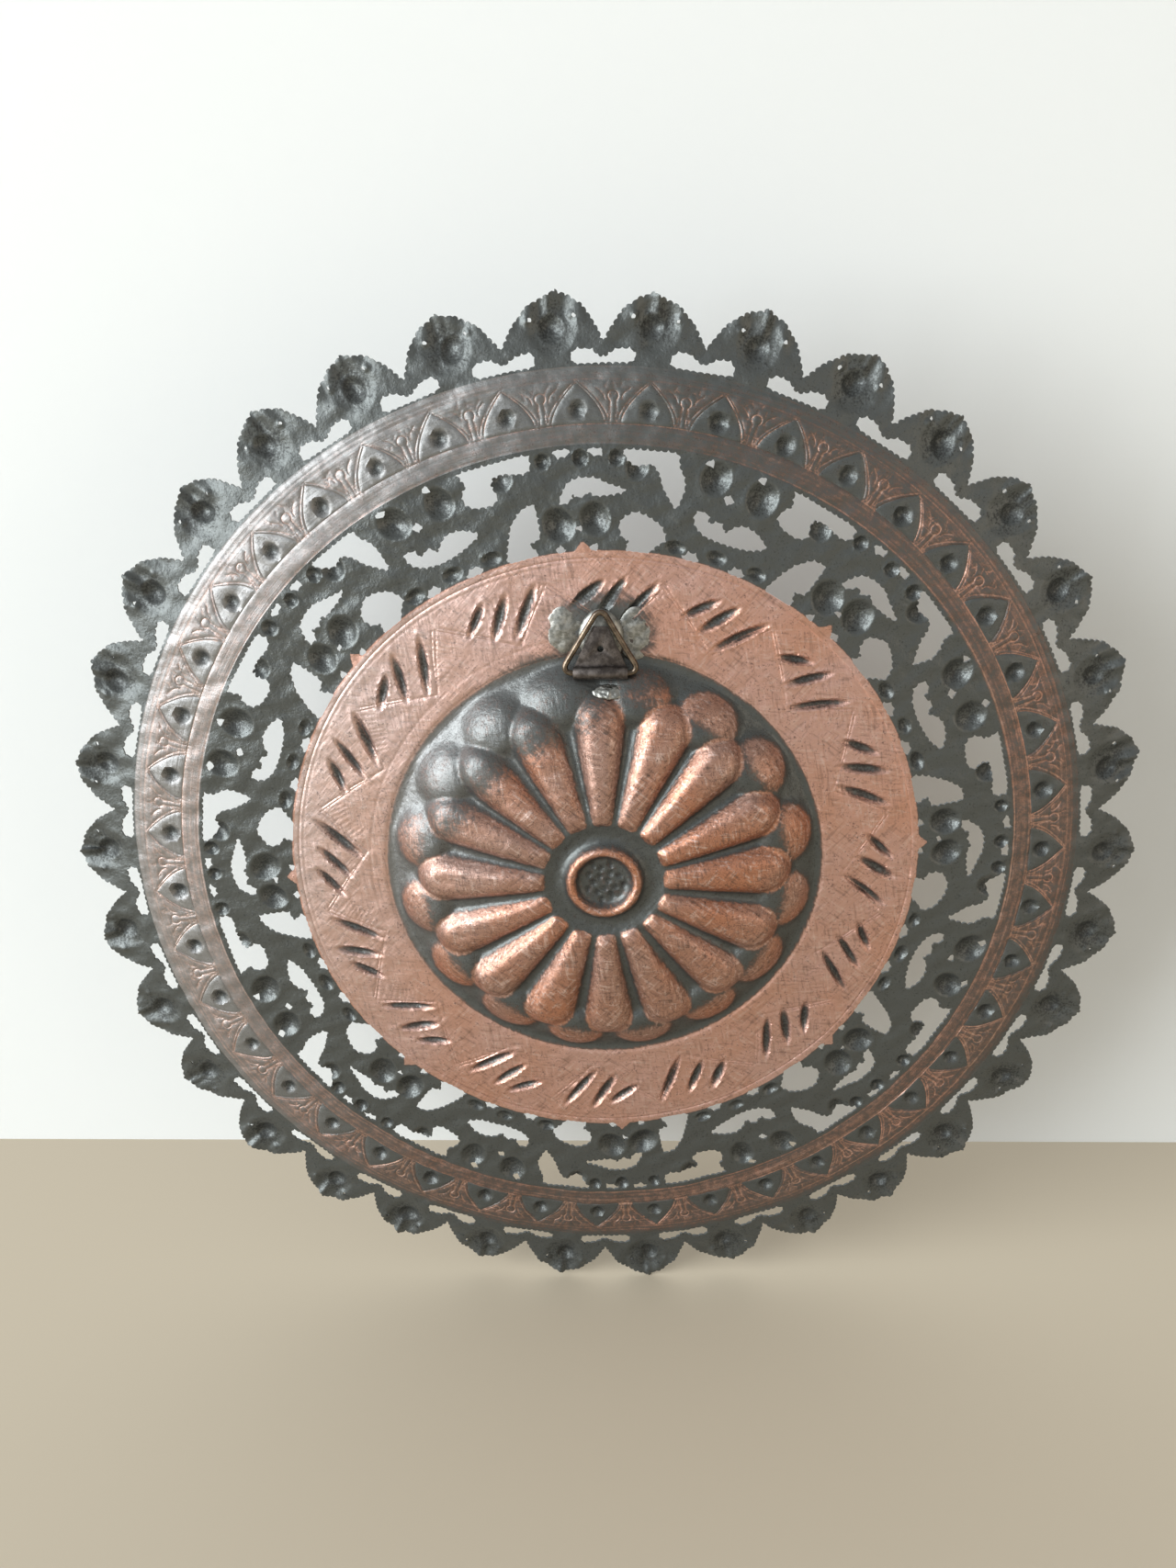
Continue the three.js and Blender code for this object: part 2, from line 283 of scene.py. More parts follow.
def plan_gallery_dents():
    for repeat in range(GALLERY_REPEATS):
        lower = LOWER_FLOWER_AXIS + repeat * 360 / GALLERY_REPEATS
        upper = UPPER_FLOWER_AXIS + repeat * 360 / GALLERY_REPEATS
        for offset in TOP_BOSSES:
            add_dent(TOP_BOSS, 120.9, lower + offset + jitter(0.3))
        plan_flower(LOWER_FLOWER, lower)
        for offset in LEAF_BOSSES:
            add_dent(LEAF_BOSS, 118.3 + jitter(0.5), lower + offset, jitter(50))
        plan_flower(UPPER_FLOWER, upper)
        for offset in FOOT_BOSSES:
            add_dent(FOOT_BOSS, 98.3, upper + offset + jitter(0.4), 90)


# Each group has three gouges, longest first: both ends as degrees from the group and radius.
GOUGES = (((1.6, 86.5), (5.7, 81.7)), ((-2.8, 87.0), (1.3, 78.0)), ((-9.0, 86.5), (-3.2, 75.0)))
GOUGE_HALF_WIDTH = 1.6
GOUGE_RUN_OUT = 2.4
GOUGE_DEPTH = 1.45
GOUGE_LIP = 0.14


def plan_base_gouges():
    for group in range(BASE_GROUPS):
        axis = BASE_AXIS + group * 360 / BASE_GROUPS + jitter(1.2)
        for (start, start_radius), (end, end_radius) in GOUGES:
            (x1, y1), = polar(start_radius + jitter(1), axis + start + jitter(0.4))
            (x2, y2), = polar(end_radius + jitter(1), axis + end + jitter(0.4))
            half_length = math.hypot(x2 - x1, y2 - y1) / 2 + GOUGE_RUN_OUT
            turn = math.atan2(y2 - y1, x2 - x1)
            half_width = GOUGE_HALF_WIDTH + jitter(0.2)
            middle_x, middle_y = (x1 + x2) / 2, (y1 + y2) / 2
            DENTS.append((middle_x, middle_y, half_length, half_width, turn, GOUGE_DEPTH, GOUGE_LIP))


def dent_shares(x, y):
    """The height that the dents add, and how deep in a dent each point lies, from 0 to 1."""
    height = np.zeros_like(x)
    share = np.zeros_like(x)
    for centre_x, centre_y, half_length, half_width, turn, depth, lip in DENTS:
        reach = 1.5 * max(half_length, half_width)
        near = (abs(x - centre_x) < reach) & (abs(y - centre_y) < reach)
        if not near.any():
            continue
        away_x, away_y = x[near] - centre_x, y[near] - centre_y
        along = (away_x * math.cos(turn) + away_y * math.sin(turn)) / half_length
        across = (away_y * math.cos(turn) - away_x * math.sin(turn)) / half_width
        distance = np.hypot(along, across)
        hollow = np.clip(1 - distance ** 2, 0, 1)
        raised = lip * np.exp(-((distance - LIP_DISTANCE) / LIP_SPREAD) ** 2)
        height[near] += raised - depth * hollow ** DENT_FULLNESS
        if depth > 0:
            share[near] = np.maximum(share[near], hollow)
    return height, share


# ---- lines scribed into the sheet: points about half a millimetre apart, and strength ----
SCRIBES = []

# Turned circles, as radius and strength.
BAND_CIRCLES = ((124.9, 0.5), (130.0, 0.9), (141.6, 0.5), (142.9, 0.3), (144.6, 0.4))
BASE_CIRCLES = ((66.4, 0.5), (71.0, 0.35), (92.2, 0.5), (93.5, 0.8))

# A chevron of double lines beside each group of gouges, as radius and degrees from the group.
CHEVRON_FOOT = (72.0, -3.5)
CHEVRON_ARMS = ((1, (87.2, 11), (79.0, 4.2)), (-1, (87.4, -12), (80.5, -8.6)))
CHEVRON_GAP = 0.9
HATCHES = 9

# A palmette: a loop, its stems as foot and top in degrees from its axis, two curls and a few ticks.
PALMETTE_RADIUS = 137.1
LOOP_RISE = 1.45
LOOP_HALF_ANGLE = 0.62
STEMS = ((0.35, 0.3), (1.0, 0.35))
STEM_RISE = 5.6
CURL_RADIUS = 136.6
CURL_RISE = 2.6
TICKS = 7
TICK_RADIUS = 138.2

VEIN_SLANTS = (-2.4, -1.2, 0.8, 2.2)
LOWER_VEIN_FOOT = 104
UPPER_VEIN_FOOT = 116


def arch_axis(arch):
    return ARCH_AXIS + arch * 360 / BAND_ARCHES


def scribe(points, strength=1.0):
    """Keeps a line in even steps."""
    points = np.asarray(points, float)
    travelled = travelled_along(points)
    count = max(3, int(travelled[-1] / SCRIBE_STEP))
    SCRIBES.append((stationed(points, travelled, np.linspace(0, travelled[-1], count)), strength))


def scribe_circle(radius, strength=1.0):
    """A turned circle with a slight waver of the hand."""
    degrees = np.linspace(0, 360, 721)
    waver = 0.12 * np.sin(np.radians(degrees * 5 + radius * 40))
    scribe(polar(radius + waver, degrees), strength)


def scribe_polar(stations, strength=1.0):
    stations = np.asarray(stations, float)
    scribe(polar(stations[:, 0], stations[:, 1]), strength)


def plan_arch(axis):
    """A pointed arch of two lines round a boss."""
    rise = np.linspace(0, 1, 18)
    for extra, top in ((0.0, ARCH_TOP), (0.5, ARCH_TOP + 0.7)):
        for side in (-1, 1):
            half = (ARCH_HALF_ANGLE + extra) * (1 - rise ** 1.6)
            radius = ARCH_FOOT + (top - ARCH_FOOT) * rise
            lean = jitter(0.06)
            scribe(polar(radius, axis + side * half + lean * rise), 0.95 - extra * 0.5)


def plan_palmette(axis):
    """A loop on a stem of flared lines, between two arches."""
    turn = np.radians(np.linspace(-60, 240, 12))
    middle = PALMETTE_RADIUS + jitter(0.3)
    scribe_polar(np.column_stack([middle + LOOP_RISE * np.sin(turn), axis + LOOP_HALF_ANGLE * np.cos(turn)]))
    for side in (-1, 1):
        for foot, top in STEMS:
            rise = np.linspace(0, 1, 7)
            degrees = axis + side * (foot + (top - foot) * rise ** 0.5)
            scribe(polar(ARCH_FOOT + STEM_RISE * rise, degrees), 0.75)
        curl = np.linspace(0, 1, 6)
        scribe(polar(CURL_RADIUS + CURL_RISE * curl, axis + side * (1.0 + 0.9 * curl ** 2)), 0.8)
    for _ in range(TICKS):
        radius = TICK_RADIUS + jitter(1.9)
        degrees = axis + jitter(2.0)
        length = 0.5 + LUCK.random()
        scribe_polar([(radius, degrees), (radius + length, degrees + jitter(0.5))], 0.6)


def plan_circles(circles):
    for radius, strength in circles:
        scribe_circle(radius, strength)


def plan_band_lines():
    plan_circles(BAND_CIRCLES)
    for arch in range(BAND_ARCHES):
        plan_arch(arch_axis(arch))
        plan_palmette(arch_axis(arch) + 180 / BAND_ARCHES)


def plan_chevron(axis):
    foot_radius, foot = CHEVRON_FOOT
    for gap in (0.0, CHEVRON_GAP):
        for side, (top_radius, top), (bend_radius, bend) in CHEVRON_ARMS:
            top_station = (top_radius, axis + top - side * gap)
            bend_station = (bend_radius, axis + bend - side * gap)
            scribe_polar([top_station, bend_station, (foot_radius, axis + foot)], 0.75)


def plan_hatching(axis):
    for hatch in range(HATCHES):
        share = (hatch + 0.5 + jitter(0.2)) / HATCHES
        start = np.array([87.2 - 11 * share, axis - 11.6 + 6.2 * share])
        run = np.array([-7.0 + 3 * share, -3.6])
        scribe_polar([start, start + run * (0.8 + jitter(0.2))], 0.4)


def plan_base_lines():
    plan_circles(BASE_CIRCLES)
    for group in range(BASE_GROUPS):
        axis = BASE_AXIS + group * 360 / BASE_GROUPS + jitter(0.6)
        plan_chevron(axis)
        plan_hatching(axis)


def plan_gallery_lines():
    """Loose veins and tool marks on the strapwork."""
    for repeat in range(GALLERY_REPEATS):
        turn = repeat * 360 / GALLERY_REPEATS
        for axis, foot in ((LOWER_FLOWER_AXIS, LOWER_VEIN_FOOT), (UPPER_FLOWER_AXIS, UPPER_VEIN_FOOT)):
            for slant in VEIN_SLANTS:
                radius, degrees = foot + jitter(2), axis + turn + slant * 1.6
                scribe_polar([(radius, degrees), (radius + 4.5, degrees + slant * 0.5)], 0.35)


def scribe_tree():
    points = np.concatenate([line for line, _ in SCRIBES])
    strengths = np.concatenate([np.full(len(line), strength) for line, strength in SCRIBES])
    return tree_of(points), strengths


def scribe_shares(x, y):
    """How near each point lies to a scribed line, from 0 to the line's strength."""
    shares = np.zeros(len(x))
    for number, (px, py) in enumerate(zip(x, y)):
        _, nearest, distance = SCRIBE_TREE.find((px, py, 0))
        if distance < SCRIBE_HALF_WIDTH:
            shares[number] = SCRIBE_STRENGTHS[nearest] * (1 - distance / SCRIBE_HALF_WIDTH)
    return shares


# ---- the chased surface ----
TABLE_RADII = np.arange(0, 172, 0.1)
TABLE_BLUR = 20
TABLE_SPREAD = 6


def ground_table():
    """The ground line by small steps of radius, its corners smoothed."""
    radii, heights = zip(*GROUND_LINE)
    table = np.interp(TABLE_RADII, radii, heights)
    kernel = np.exp(-0.5 * (np.arange(-TABLE_BLUR, TABLE_BLUR + 1) / TABLE_SPREAD) ** 2)
    padded = np.pad(table, TABLE_BLUR, mode="reflect", reflect_type="odd")
    padded[:TABLE_BLUR] = table[TABLE_BLUR:0:-1]
    return np.convolve(padded, kernel / kernel.sum(), mode="valid")


GROUND_TABLE = ground_table()
ROSETTE_JITTER = [(jitter(0.7), 1 + jitter(0.05), jitter(0.35)) for _ in range(2 * ROSETTE_PETALS)]
BORDER_TILTS = [(jitter(1.1), jitter(0.05), jitter(0.5)) for _ in range(BORDER_PETALS)]
WIDE_WAVES = ripple_waves(5, 26)
HAMMER_WAVES = ripple_waves(6, 7)
FINE_WAVES = ripple_waves(7, 2.6)
WIDE_WAVE_HEIGHT = 0.11
HAMMER_WAVE_HEIGHT = 0.04
OUTER_HAMMER_HEIGHT = 0.05
FINE_WAVE_HEIGHT = 0.018

# The crest of a long petal, as distance from the middle and height.
PETAL_CREST = ((17.4, 25.3), (18.8, 26.3), (21, 26.8), (30, 26.6), (42, 25.2), (50, 23.6), (54, 22.6),
               (58, 21.6))
PETAL_START = 16.9
PETAL_FULL = 18.8
BLEND_SHARPNESS = 3.2
BLEND_LEVEL = 15
ROSETTE_SETTLING = 0.25

KEEL_HEIGHT = 0.75
KEEL_HALF_WIDTH = 1.1
CRINKLE_HEIGHT = 0.35


def rosette_local(radius, degrees, axis, extras):
    """Distances along and across the nearest petal, with that petal's own small errors."""
    away, number = wrapped(degrees - axis, 360 / ROSETTE_PETALS)
    errors = np.array(extras)[number % ROSETTE_PETALS]
    angle = np.radians(away - errors[:, 0])
    return radius * np.cos(angle), radius * np.sin(angle) / errors[:, 1], errors[:, 2]


def swelling(distance):
    """A rounded swelling: 1 on its crest, falling smoothly to 0 at its foot."""
    return (1 + np.cos(math.pi * np.clip(distance, 0, 1) ** 1.75)) / 2


def petal_share(radius, degrees):
    """Roundness of the long petals: 1 on the crest, 0 at the foot."""
    along, across, error = rosette_local(radius, degrees, ROSETTE_AXIS, ROSETTE_JITTER[:ROSETTE_PETALS])
    half = np.minimum(along * math.tan(math.pi / ROSETTE_PETALS), PETAL_HALF_PITCH)
    past = np.clip(along - PETAL_TIP_START, 0, None) / PETAL_TIP_LENGTH
    share = swelling(np.hypot(across / np.maximum(half, 0.1), past))
    return share * smooth_step(along, PETAL_START, PETAL_FULL), along, error


def lobe_share(radius, degrees):
    """Roundness of the short lobes that stand between the petal tips."""
    axis = ROSETTE_AXIS + 180 / ROSETTE_PETALS
    along, across, error = rosette_local(radius, degrees, axis, ROSETTE_JITTER[ROSETTE_PETALS:])
    share = swelling(np.hypot(across / LOBE_HALF_WIDTH, (along - LOBE_MIDDLE) / LOBE_HALF_LENGTH))
    return share, along, error


def blended_top(*heights):
    """The highest of several surfaces, their meeting lines rounded over."""
    total = sum(np.exp(BLEND_SHARPNESS * (height - BLEND_LEVEL)) for height in heights)
    return np.log(total) / BLEND_SHARPNESS + BLEND_LEVEL


def rosette_height(radius, degrees, ground):
    petal, along, petal_error = petal_share(radius, degrees)
    crest = np.interp(along, *zip(*PETAL_CREST))
    lobe, _, lobe_error = lobe_share(radius, degrees)
    petals = ground + petal * (crest + petal_error - ground)
    lobes = ground + lobe * (LOBE_HEIGHT + lobe_error)
    return blended_top(ground, petals, lobes) - ROSETTE_SETTLING


def border_lift(radius, degrees):
    """Each border petal leans a little its own way and has a keel towards its tip."""
    away, number = wrapped(degrees, 360 / BORDER_PETALS)
    tilts = np.array(BORDER_TILTS)[number % BORDER_PETALS]
    across = np.radians(away) * radius
    outward = smooth_step(radius, 149.5, RIM_RADIUS)
    keel = KEEL_HEIGHT * np.exp(-((across - tilts[:, 2]) / KEEL_HALF_WIDTH) ** 2)
    keel *= smooth_step(radius, 156, 162)
    crinkle = CRINKLE_HEIGHT * np.sin(away * 2.6 + number) * smooth_step(radius, 153, 161)
    return outward * (tilts[:, 0] + across * tilts[:, 1]) + keel + crinkle


def surface(x, y, fine=True):
    """Height of the back surface, with the dent and scribe shares that also steer the finish."""
    radius = np.hypot(x, y)
    degrees = np.degrees(np.arctan2(y, x))
    height = np.interp(radius, TABLE_RADII, GROUND_TABLE)
    inner = radius < ROSETTE_RADIUS + 4
    if inner.any():
        blend = smooth_step(radius[inner], GROOVE_RADIUS - 0.6, GROOVE_RADIUS + 0.6)
        blend *= 1 - smooth_step(radius[inner], ROSETTE_RADIUS, ROSETTE_RADIUS + 3)
        worked = rosette_height(radius[inner], degrees[inner], height[inner])
        height[inner] += blend * (worked - height[inner])
    dents, dent_share = dent_shares(x, y)
    loose = smooth_step(radius, 60, 100)
    height = height + dents + border_lift(radius, degrees)
    hammered = HAMMER_WAVE_HEIGHT + OUTER_HAMMER_HEIGHT * smooth_step(radius, 93, 97)
    height += loose * WIDE_WAVE_HEIGHT * ripples(WIDE_WAVES, x, y)
    height += hammered * ripples(HAMMER_WAVES, x, y)
    if not fine:
        return height, dent_share, np.zeros_like(x)
    scribes = scribe_shares(x, y)
    height += FINE_WAVE_HEIGHT * ripples(FINE_WAVES, x, y) - SCRIBE_DEPTH * scribes
    return height, dent_share, scribes


def solder_stain(x, y):
    """Grey of flux and heat round the hanger: 1 at its middle."""
    above = ((x - HANGER_X - 1) / 18) ** 2 + ((y - 73) / 13) ** 2
    below = ((x - HANGER_X + 3) / 31) ** 2 + ((y - 61.5) / 7.5) ** 2
    return np.maximum(np.exp(-above ** 2), 0.8 * np.exp(-below ** 2))


# How bright the long petals are worn, as distance from the middle and share.
PETAL_RUB = ((17, 0.58), (26, 0.62), (40, 0.7), (52, 0.85))
GREY_SIDE_DIRECTION = 128
GREY_SIDE_SPREAD = 44
BAND_DARK_DIRECTION = 97
BAND_DARK_SPREAD = 40
SHADE_IN_ARCH = 0.05
SHADE_BELOW_ARCH = 0.35
SHADE_BESIDE_ARCH = 0.32
INNER_LINE_RUB = 0.34
OUTER_LINE_RUB = 0.24


def rosette_rub(x, y, radius, degrees):
    """Worn petals and lobes, less worn and greyer towards the upper left, and the bright ring round the cup.
    """
    petal, along, _ = petal_share(radius, degrees)
    lobe, lobe_along, _ = lobe_share(radius, degrees)
    petal_rub = smooth_step(petal, 0.04, 0.5) * np.interp(along, *zip(*PETAL_RUB))
    lobe_rub = smooth_step(lobe, 0.12, 0.6) * smooth_step(lobe_along, 51, 58) * 0.7
    grey_side = np.exp(-((degrees - GREY_SIDE_DIRECTION) / GREY_SIDE_SPREAD) ** 4) * smooth_step(radius, 36, 51)
    worn = np.maximum(petal_rub, lobe_rub) * (1 - 0.8 * grey_side) * (1 - 0.8 * solder_stain(x, y))
    cup = 0.85 * np.exp(-((radius - CUP_RING_RADIUS) / 1.5) ** 2) + 0.1 * (radius < CUP_RADIUS)
    return np.maximum(worn, cup) * (1 - smooth_step(radius, 64, 66))


def base_rub(x, y, radius, degrees, dent_share):
    """The bright ring round the rosette and its scallops under the lower flowers."""
    ring = smooth_step(radius, 64.5, 68.0) * (1 - smooth_step(radius, 94.9, 96.0))
    off_flower, _ = wrapped(degrees - LOWER_FLOWER_AXIS, 360 / GALLERY_REPEATS)
    scallop = (radius > 90) * smooth_step(98.6 - radius - 1.9 * abs(off_flower), 0, 0.7)
    return np.maximum(ring, scallop) * (1 - 0.85 * np.sqrt(dent_share)) * (1 - 0.9 * solder_stain(x, y))


def band_rub(radius, degrees):
    """Copper that shows between the arches, darker at the top of the tray."""
    away, _ = wrapped(degrees - ARCH_AXIS, 360 / BAND_ARCHES)
    rise = np.clip((radius - ARCH_FOOT) / (ARCH_TOP - ARCH_FOOT), 0, 1)
    in_arch = (abs(away) < ARCH_HALF_ANGLE * (1 - rise ** 1.6)) & (radius > ARCH_FOOT)
    shade = np.where(radius < ARCH_FOOT, SHADE_BELOW_ARCH, SHADE_BESIDE_ARCH)
    shade = np.where(in_arch, SHADE_IN_ARCH, shade)
    shade *= 1 - 0.5 * np.exp(-((degrees - BAND_DARK_DIRECTION) / BAND_DARK_SPREAD) ** 2)
    return shade * smooth_step(radius, 124, 124.8) * (1 - smooth_step(radius, 142, 147))


def bare_copper(x, y, dent_share, scribes):
    """How far the dark patina is rubbed away: 0 is dark, 1 is bare copper."""
    radius = np.hypot(x, y)
    degrees = np.degrees(np.arctan2(y, x))
    lines = scribes * np.where(radius > BASE_RADIUS, OUTER_LINE_RUB, INNER_LINE_RUB)
    lines *= radius > ROSETTE_RADIUS
    worn = rosette_rub(x, y, radius, degrees) + base_rub(x, y, radius, degrees, dent_share)
    return np.clip(worn + band_rub(radius, degrees) + lines, 0, 1)


# ---- openings and outlines: closed rings of points ----
NICK_CUTS = (0.0, 0.1, 1.0, 0.25)
CORNER_CUT = 0.14
LONGEST_CROSSING = 14


def resampled(loop):
    """The loop in even steps that carry a whole number of nicks."""
    closed = np.vstack([loop, loop[:1]])
    travelled = travelled_along(closed)
    steps = len(NICK_CUTS)
    count = steps * max(2, int(round(travelled[-1] / (NICK_PITCH / steps) / steps)))
    return stationed(closed, travelled, np.linspace(0, travelled[-1], count, endpoint=False))


def signed_area(loop):
    following = np.roll(loop, -1, axis=0)
    return np.sum(loop[:, 0] * following[:, 1] - following[:, 0] * loop[:, 1]) / 2


def rounded(loop):
    """Corners cut off a little, as a hand-held chisel leaves them."""
    following = np.roll(loop, -1, axis=0)
    kept = 1 - CORNER_CUT
    cut_off = [kept * loop + CORNER_CUT * following, CORNER_CUT * loop + kept * following]
    return np.stack(cut_off, axis=1).reshape(-1, 2)


def nicked(loop, metal_outside=True):
    """An edge cut with a punch, which leaves a row of small nicks in the metal."""
    points = resampled(loop)
    normal = sideways(np.roll(points, -1, axis=0) - np.roll(points, 1, axis=0))
    if (signed_area(loop) > 0) != metal_outside:
        normal = -normal
    cuts = np.tile(NICK_CUTS, len(points) // len(NICK_CUTS))
    chance = np.array([LUCK.uniform(0.5, 1.2) for _ in points])
    return points + normal * (cuts * chance * NICK_DEPTH)[:, None]


def held(loop, low, high):
    """The loop kept between two radii."""
    radius = radius_of(loop)
    return loop * (np.clip(radius, low, high) / radius)[:, None]


def side_of(start, end, point):
    """Positive where the point lies to the left of the line from start to end."""
    run, away = end - start, point - start
    return run[:, 0] * away[:, 1] - run[:, 1] * away[:, 0]


def uncrossed(loop, plain):
    """The loop with its nicks taken back to the plain edge wherever they run into each other."""
    loop = loop.copy()
    for _ in range(3):
        following = np.roll(loop, -1, axis=0)
        crowded = np.zeros(len(loop), bool)
        for gap in range(2, LONGEST_CROSSING):
            start, end = np.roll(loop, -gap, axis=0), np.roll(following, -gap, axis=0)
            meets = side_of(loop, following, start) * side_of(loop, following, end) < 0
            meets &= side_of(start, end, loop) * side_of(start, end, following) < 0
            for step in range(gap + 2):
                crowded |= np.roll(meets, step)
        loop[crowded] = plain[crowded]
    return loop


def opening(outline, axis, low, high):
    stations = np.array(outline, float)
    stations[:, 0] += [jitter(0.15) for _ in outline]
    stations[:, 1] += [jitter(0.2) for _ in outline]
    edge = rounded(polar(stations[:, 1], axis + stations[:, 0]))
    return uncrossed(held(nicked(edge), low, high), held(resampled(edge), low, high))


# The outline of half a border petal: share of the way from tip to notch, and radius.
PETAL_FLANK = ((0, 165.0), (0.1, 164.1), (0.32, 162.9), (0.53, 160.9), (0.72, 158.0), (0.86, 155.0),
               (0.94, 153.2), (1, 151.5))
PETAL_SHAPES = [(1 + jitter(0.05), jitter(0.9)) for _ in range(BORDER_PETALS)]


def petal_reach(degrees):
    """Radius of the border's outline in each direction."""
    away, number = wrapped(degrees, 360 / BORDER_PETALS)
    half = 180 / BORDER_PETALS
    growth, lean = np.array(PETAL_SHAPES)[number % BORDER_PETALS].T
    away = away - lean * (1 - abs(away) / half)
    share = np.clip(abs(away) / half, 0, 1)
    ragged = 0.22 * np.sin(away * 3.4 + number * 2.0) * 4 * share * (1 - share)
    return NOTCH_RADIUS + growth * (np.interp(share, *zip(*PETAL_FLANK)) - NOTCH_RADIUS) + ragged


# The slot between two petals, as degrees from the notch and radius.
SLOT_OUTLINE = ((-3.4, 147.6), (-3.1, 145.9), (0.0, 145.7), (3.1, 145.8), (3.4, 147.6), (2.9, 149.4),
                (1.4, 149.3), (0.3, 147.2), (-0.3, 147.2), (-1.4, 149.2), (-2.9, 149.5))

# Openings round a lower flower, as degrees from its axis and radius.
LOWER_OPENINGS = (
    ((16, 123.4), (6.4, 123.4), (6.3, 119.8), (7.1, 118.5), (10.3, 119.6), (11.7, 119.1), (12.1, 117.2),
     (11.5, 113.9), (12.6, 112.2), (15.4, 112.8), (16.5, 115.1), (16.2, 117.8), (15.3, 119.1),
     (15.6, 121.6)),
    ((-5.8, 123.4), (-6.4, 121), (-7.8, 118.6), (-10, 119.8), (-11, 117.5), (-11.8, 113.9), (-14, 108.6),
     (-14.3, 110.1), (-14.7, 114.2), (-14.4, 117.2), (-13.3, 120.1), (-13.2, 123.4)),
    ((3.1, 110.1), (3, 108.6), (1.8, 108.9), (1, 111.6), (0, 110.2), (-1.2, 111.9), (-2.2, 110.6),
     (-4.7, 111), (-7, 112.2), (-4.1, 113.9), (-2.2, 115.4), (0, 115.5), (1.8, 114.2)),
    ((6.8, 110.1), (6.8, 100.1), (8.8, 99.2), (7.5, 95.4), (13.3, 95.4), (12.3, 100), (10.8, 105.4),
     (8.9, 109.2)),
    ((-5.8, 102.2), (-6.4, 104.2), (-8.2, 106.3), (-10.3, 105.4), (-12.3, 103.4), (-13.4, 99.8),
     (-12.1, 97.8), (-10.9, 95.4), (-6.9, 95.4), (-7.6, 98.4), (-6.4, 99.2)),
    ((3.2, 123.2), (1, 123.4), (1.4, 121.9), (2.6, 121.4)),
    ((-1.4, 123.4), (-3.1, 123.2), (-3.2, 121.6), (-2.3, 121.3), (-1.6, 122.2)),
    ((0.9, 102.3), (0.0, 102.2), (0.0, 101.3), (1.0, 101.4)),
    ((4.3, 97.0), (3.3, 97.0), (3.2, 95.5), (4.4, 95.5)),
    ((-1.3, 97.0), (-2.3, 97.0), (-2.4, 95.5), (-1.2, 95.5)),
)

# Openings round an upper flower.
UPPER_OPENINGS = (
    ((5.3, 108.1), (4.9, 109.5), (3.5, 109.2), (3, 106.6), (1.3, 108.1), (0.2, 105.5), (-0.9, 107.8),
     (-2.4, 108.9), (-4.6, 108.4), (-6.7, 106), (-4.3, 103.6), (-1.8, 102.8), (0.7, 102.5), (3.2, 103.4),
     (4.9, 105.4)),
    ((5.4, 123.3), (4.4, 123.3), (4.4, 121.6), (5.3, 121.7)),
    ((-1.6, 123.3), (-2.6, 123.3), (-2.6, 121.7), (-1.7, 121.6)),
    ((1.8, 115.3), (0.8, 115.2), (0.8, 113.5), (1.8, 113.6)),
    ((5.7, 95.5), (2.7, 95.5), (3.5, 97.6), (4.9, 97.5)),
    ((-2.3, 95.5), (-5.3, 95.5), (-4.6, 97.5), (-3.1, 97.6)),
)


def gallery_openings():
    loops = []
    low, high = BASE_RADIUS + SEAM_MARGIN, BAND_RADIUS - SEAM_MARGIN
    for repeat in range(GALLERY_REPEATS):
        turn = repeat * 360 / GALLERY_REPEATS
        for axis, outlines in ((LOWER_FLOWER_AXIS, LOWER_OPENINGS), (UPPER_FLOWER_AXIS, UPPER_OPENINGS)):
            loops += [opening(outline, axis + turn, low, high) for outline in outlines]
    return loops


def pinhole(radius, degrees):
    angles = np.arange(0, 360, 45)
    reach = np.array([PINHOLE_REACH + jitter(0.22) for _ in angles])
    return polar(radius, degrees) + polar(reach, angles)


def border_openings():
    loops = []
    pitch = 360 / BORDER_PETALS
    low = BORDER_RADIUS + SEAM_MARGIN
    for petal in range(BORDER_PETALS):
        loops.append(opening(SLOT_OUTLINE, (petal + 0.5) * pitch, low, NOTCH_RADIUS))
        for side in (-1, 1):
            if LUCK.random() < 0.85:
                eye = PINHOLE_RADIUS + jitter(0.7), petal * pitch + side * PETAL_EYE_ANGLE + jitter(0.25)
                loops.append(pinhole(*eye))
    return loops


def circle_loop(radius):
    count = int(2 * math.pi * radius / CIRCLE_STEP)
    return polar(radius, np.linspace(0, 360, count, endpoint=False))


def rim_loop():
    degrees = np.linspace(0, 360, 6000, endpoint=False)
    edge = polar(petal_reach(degrees), degrees)
    return uncrossed(nicked(edge, False), resampled(edge))


# ---- a ring zone of the sheet as a closed shell ----
def holds(loop, points):
    """Which of the points lie inside the loop."""
    inside = np.zeros(len(points), bool)
    low, high = loop.min(axis=0), loop.max(axis=0)
    near = np.flatnonzero(((points > low) & (points < high)).all(axis=1))
    px, py = points[near].T
    crossings = np.zeros(len(near), int)
    for (x1, y1), (x2, y2) in zip(loop, np.roll(loop, -1, axis=0)):
        spans = (y1 > py) != (y2 > py)
        if y1 != y2:
            crossings += spans & (px < x1 + (py - y1) * (x2 - x1) / (y2 - y1))
    inside[near] = crossings % 2 == 1
    return inside


def between_circles(points, inner, outer, margin):
    radius = radius_of(points)
    return points[(radius > inner + margin) & (radius < outer - margin)]


def strewn(inner, outer, step):
    """Points about a step apart over a ring, in staggered rows with a little disorder."""
    luck = np.random.default_rng(int(inner * 7 + outer * 11 + step * 1000))
    columns = np.arange(-outer, outer, step)
    rows = np.arange(-outer, outer, step * 0.866)
    x, y = np.meshgrid(columns, rows)
    x[1::2] += step / 2
    points = np.column_stack([x.ravel(), y.ravel()]) + luck.uniform(-0.18, 0.18, (x.size, 2)) * step
    return between_circles(points, inner, outer, 0.3 * step)


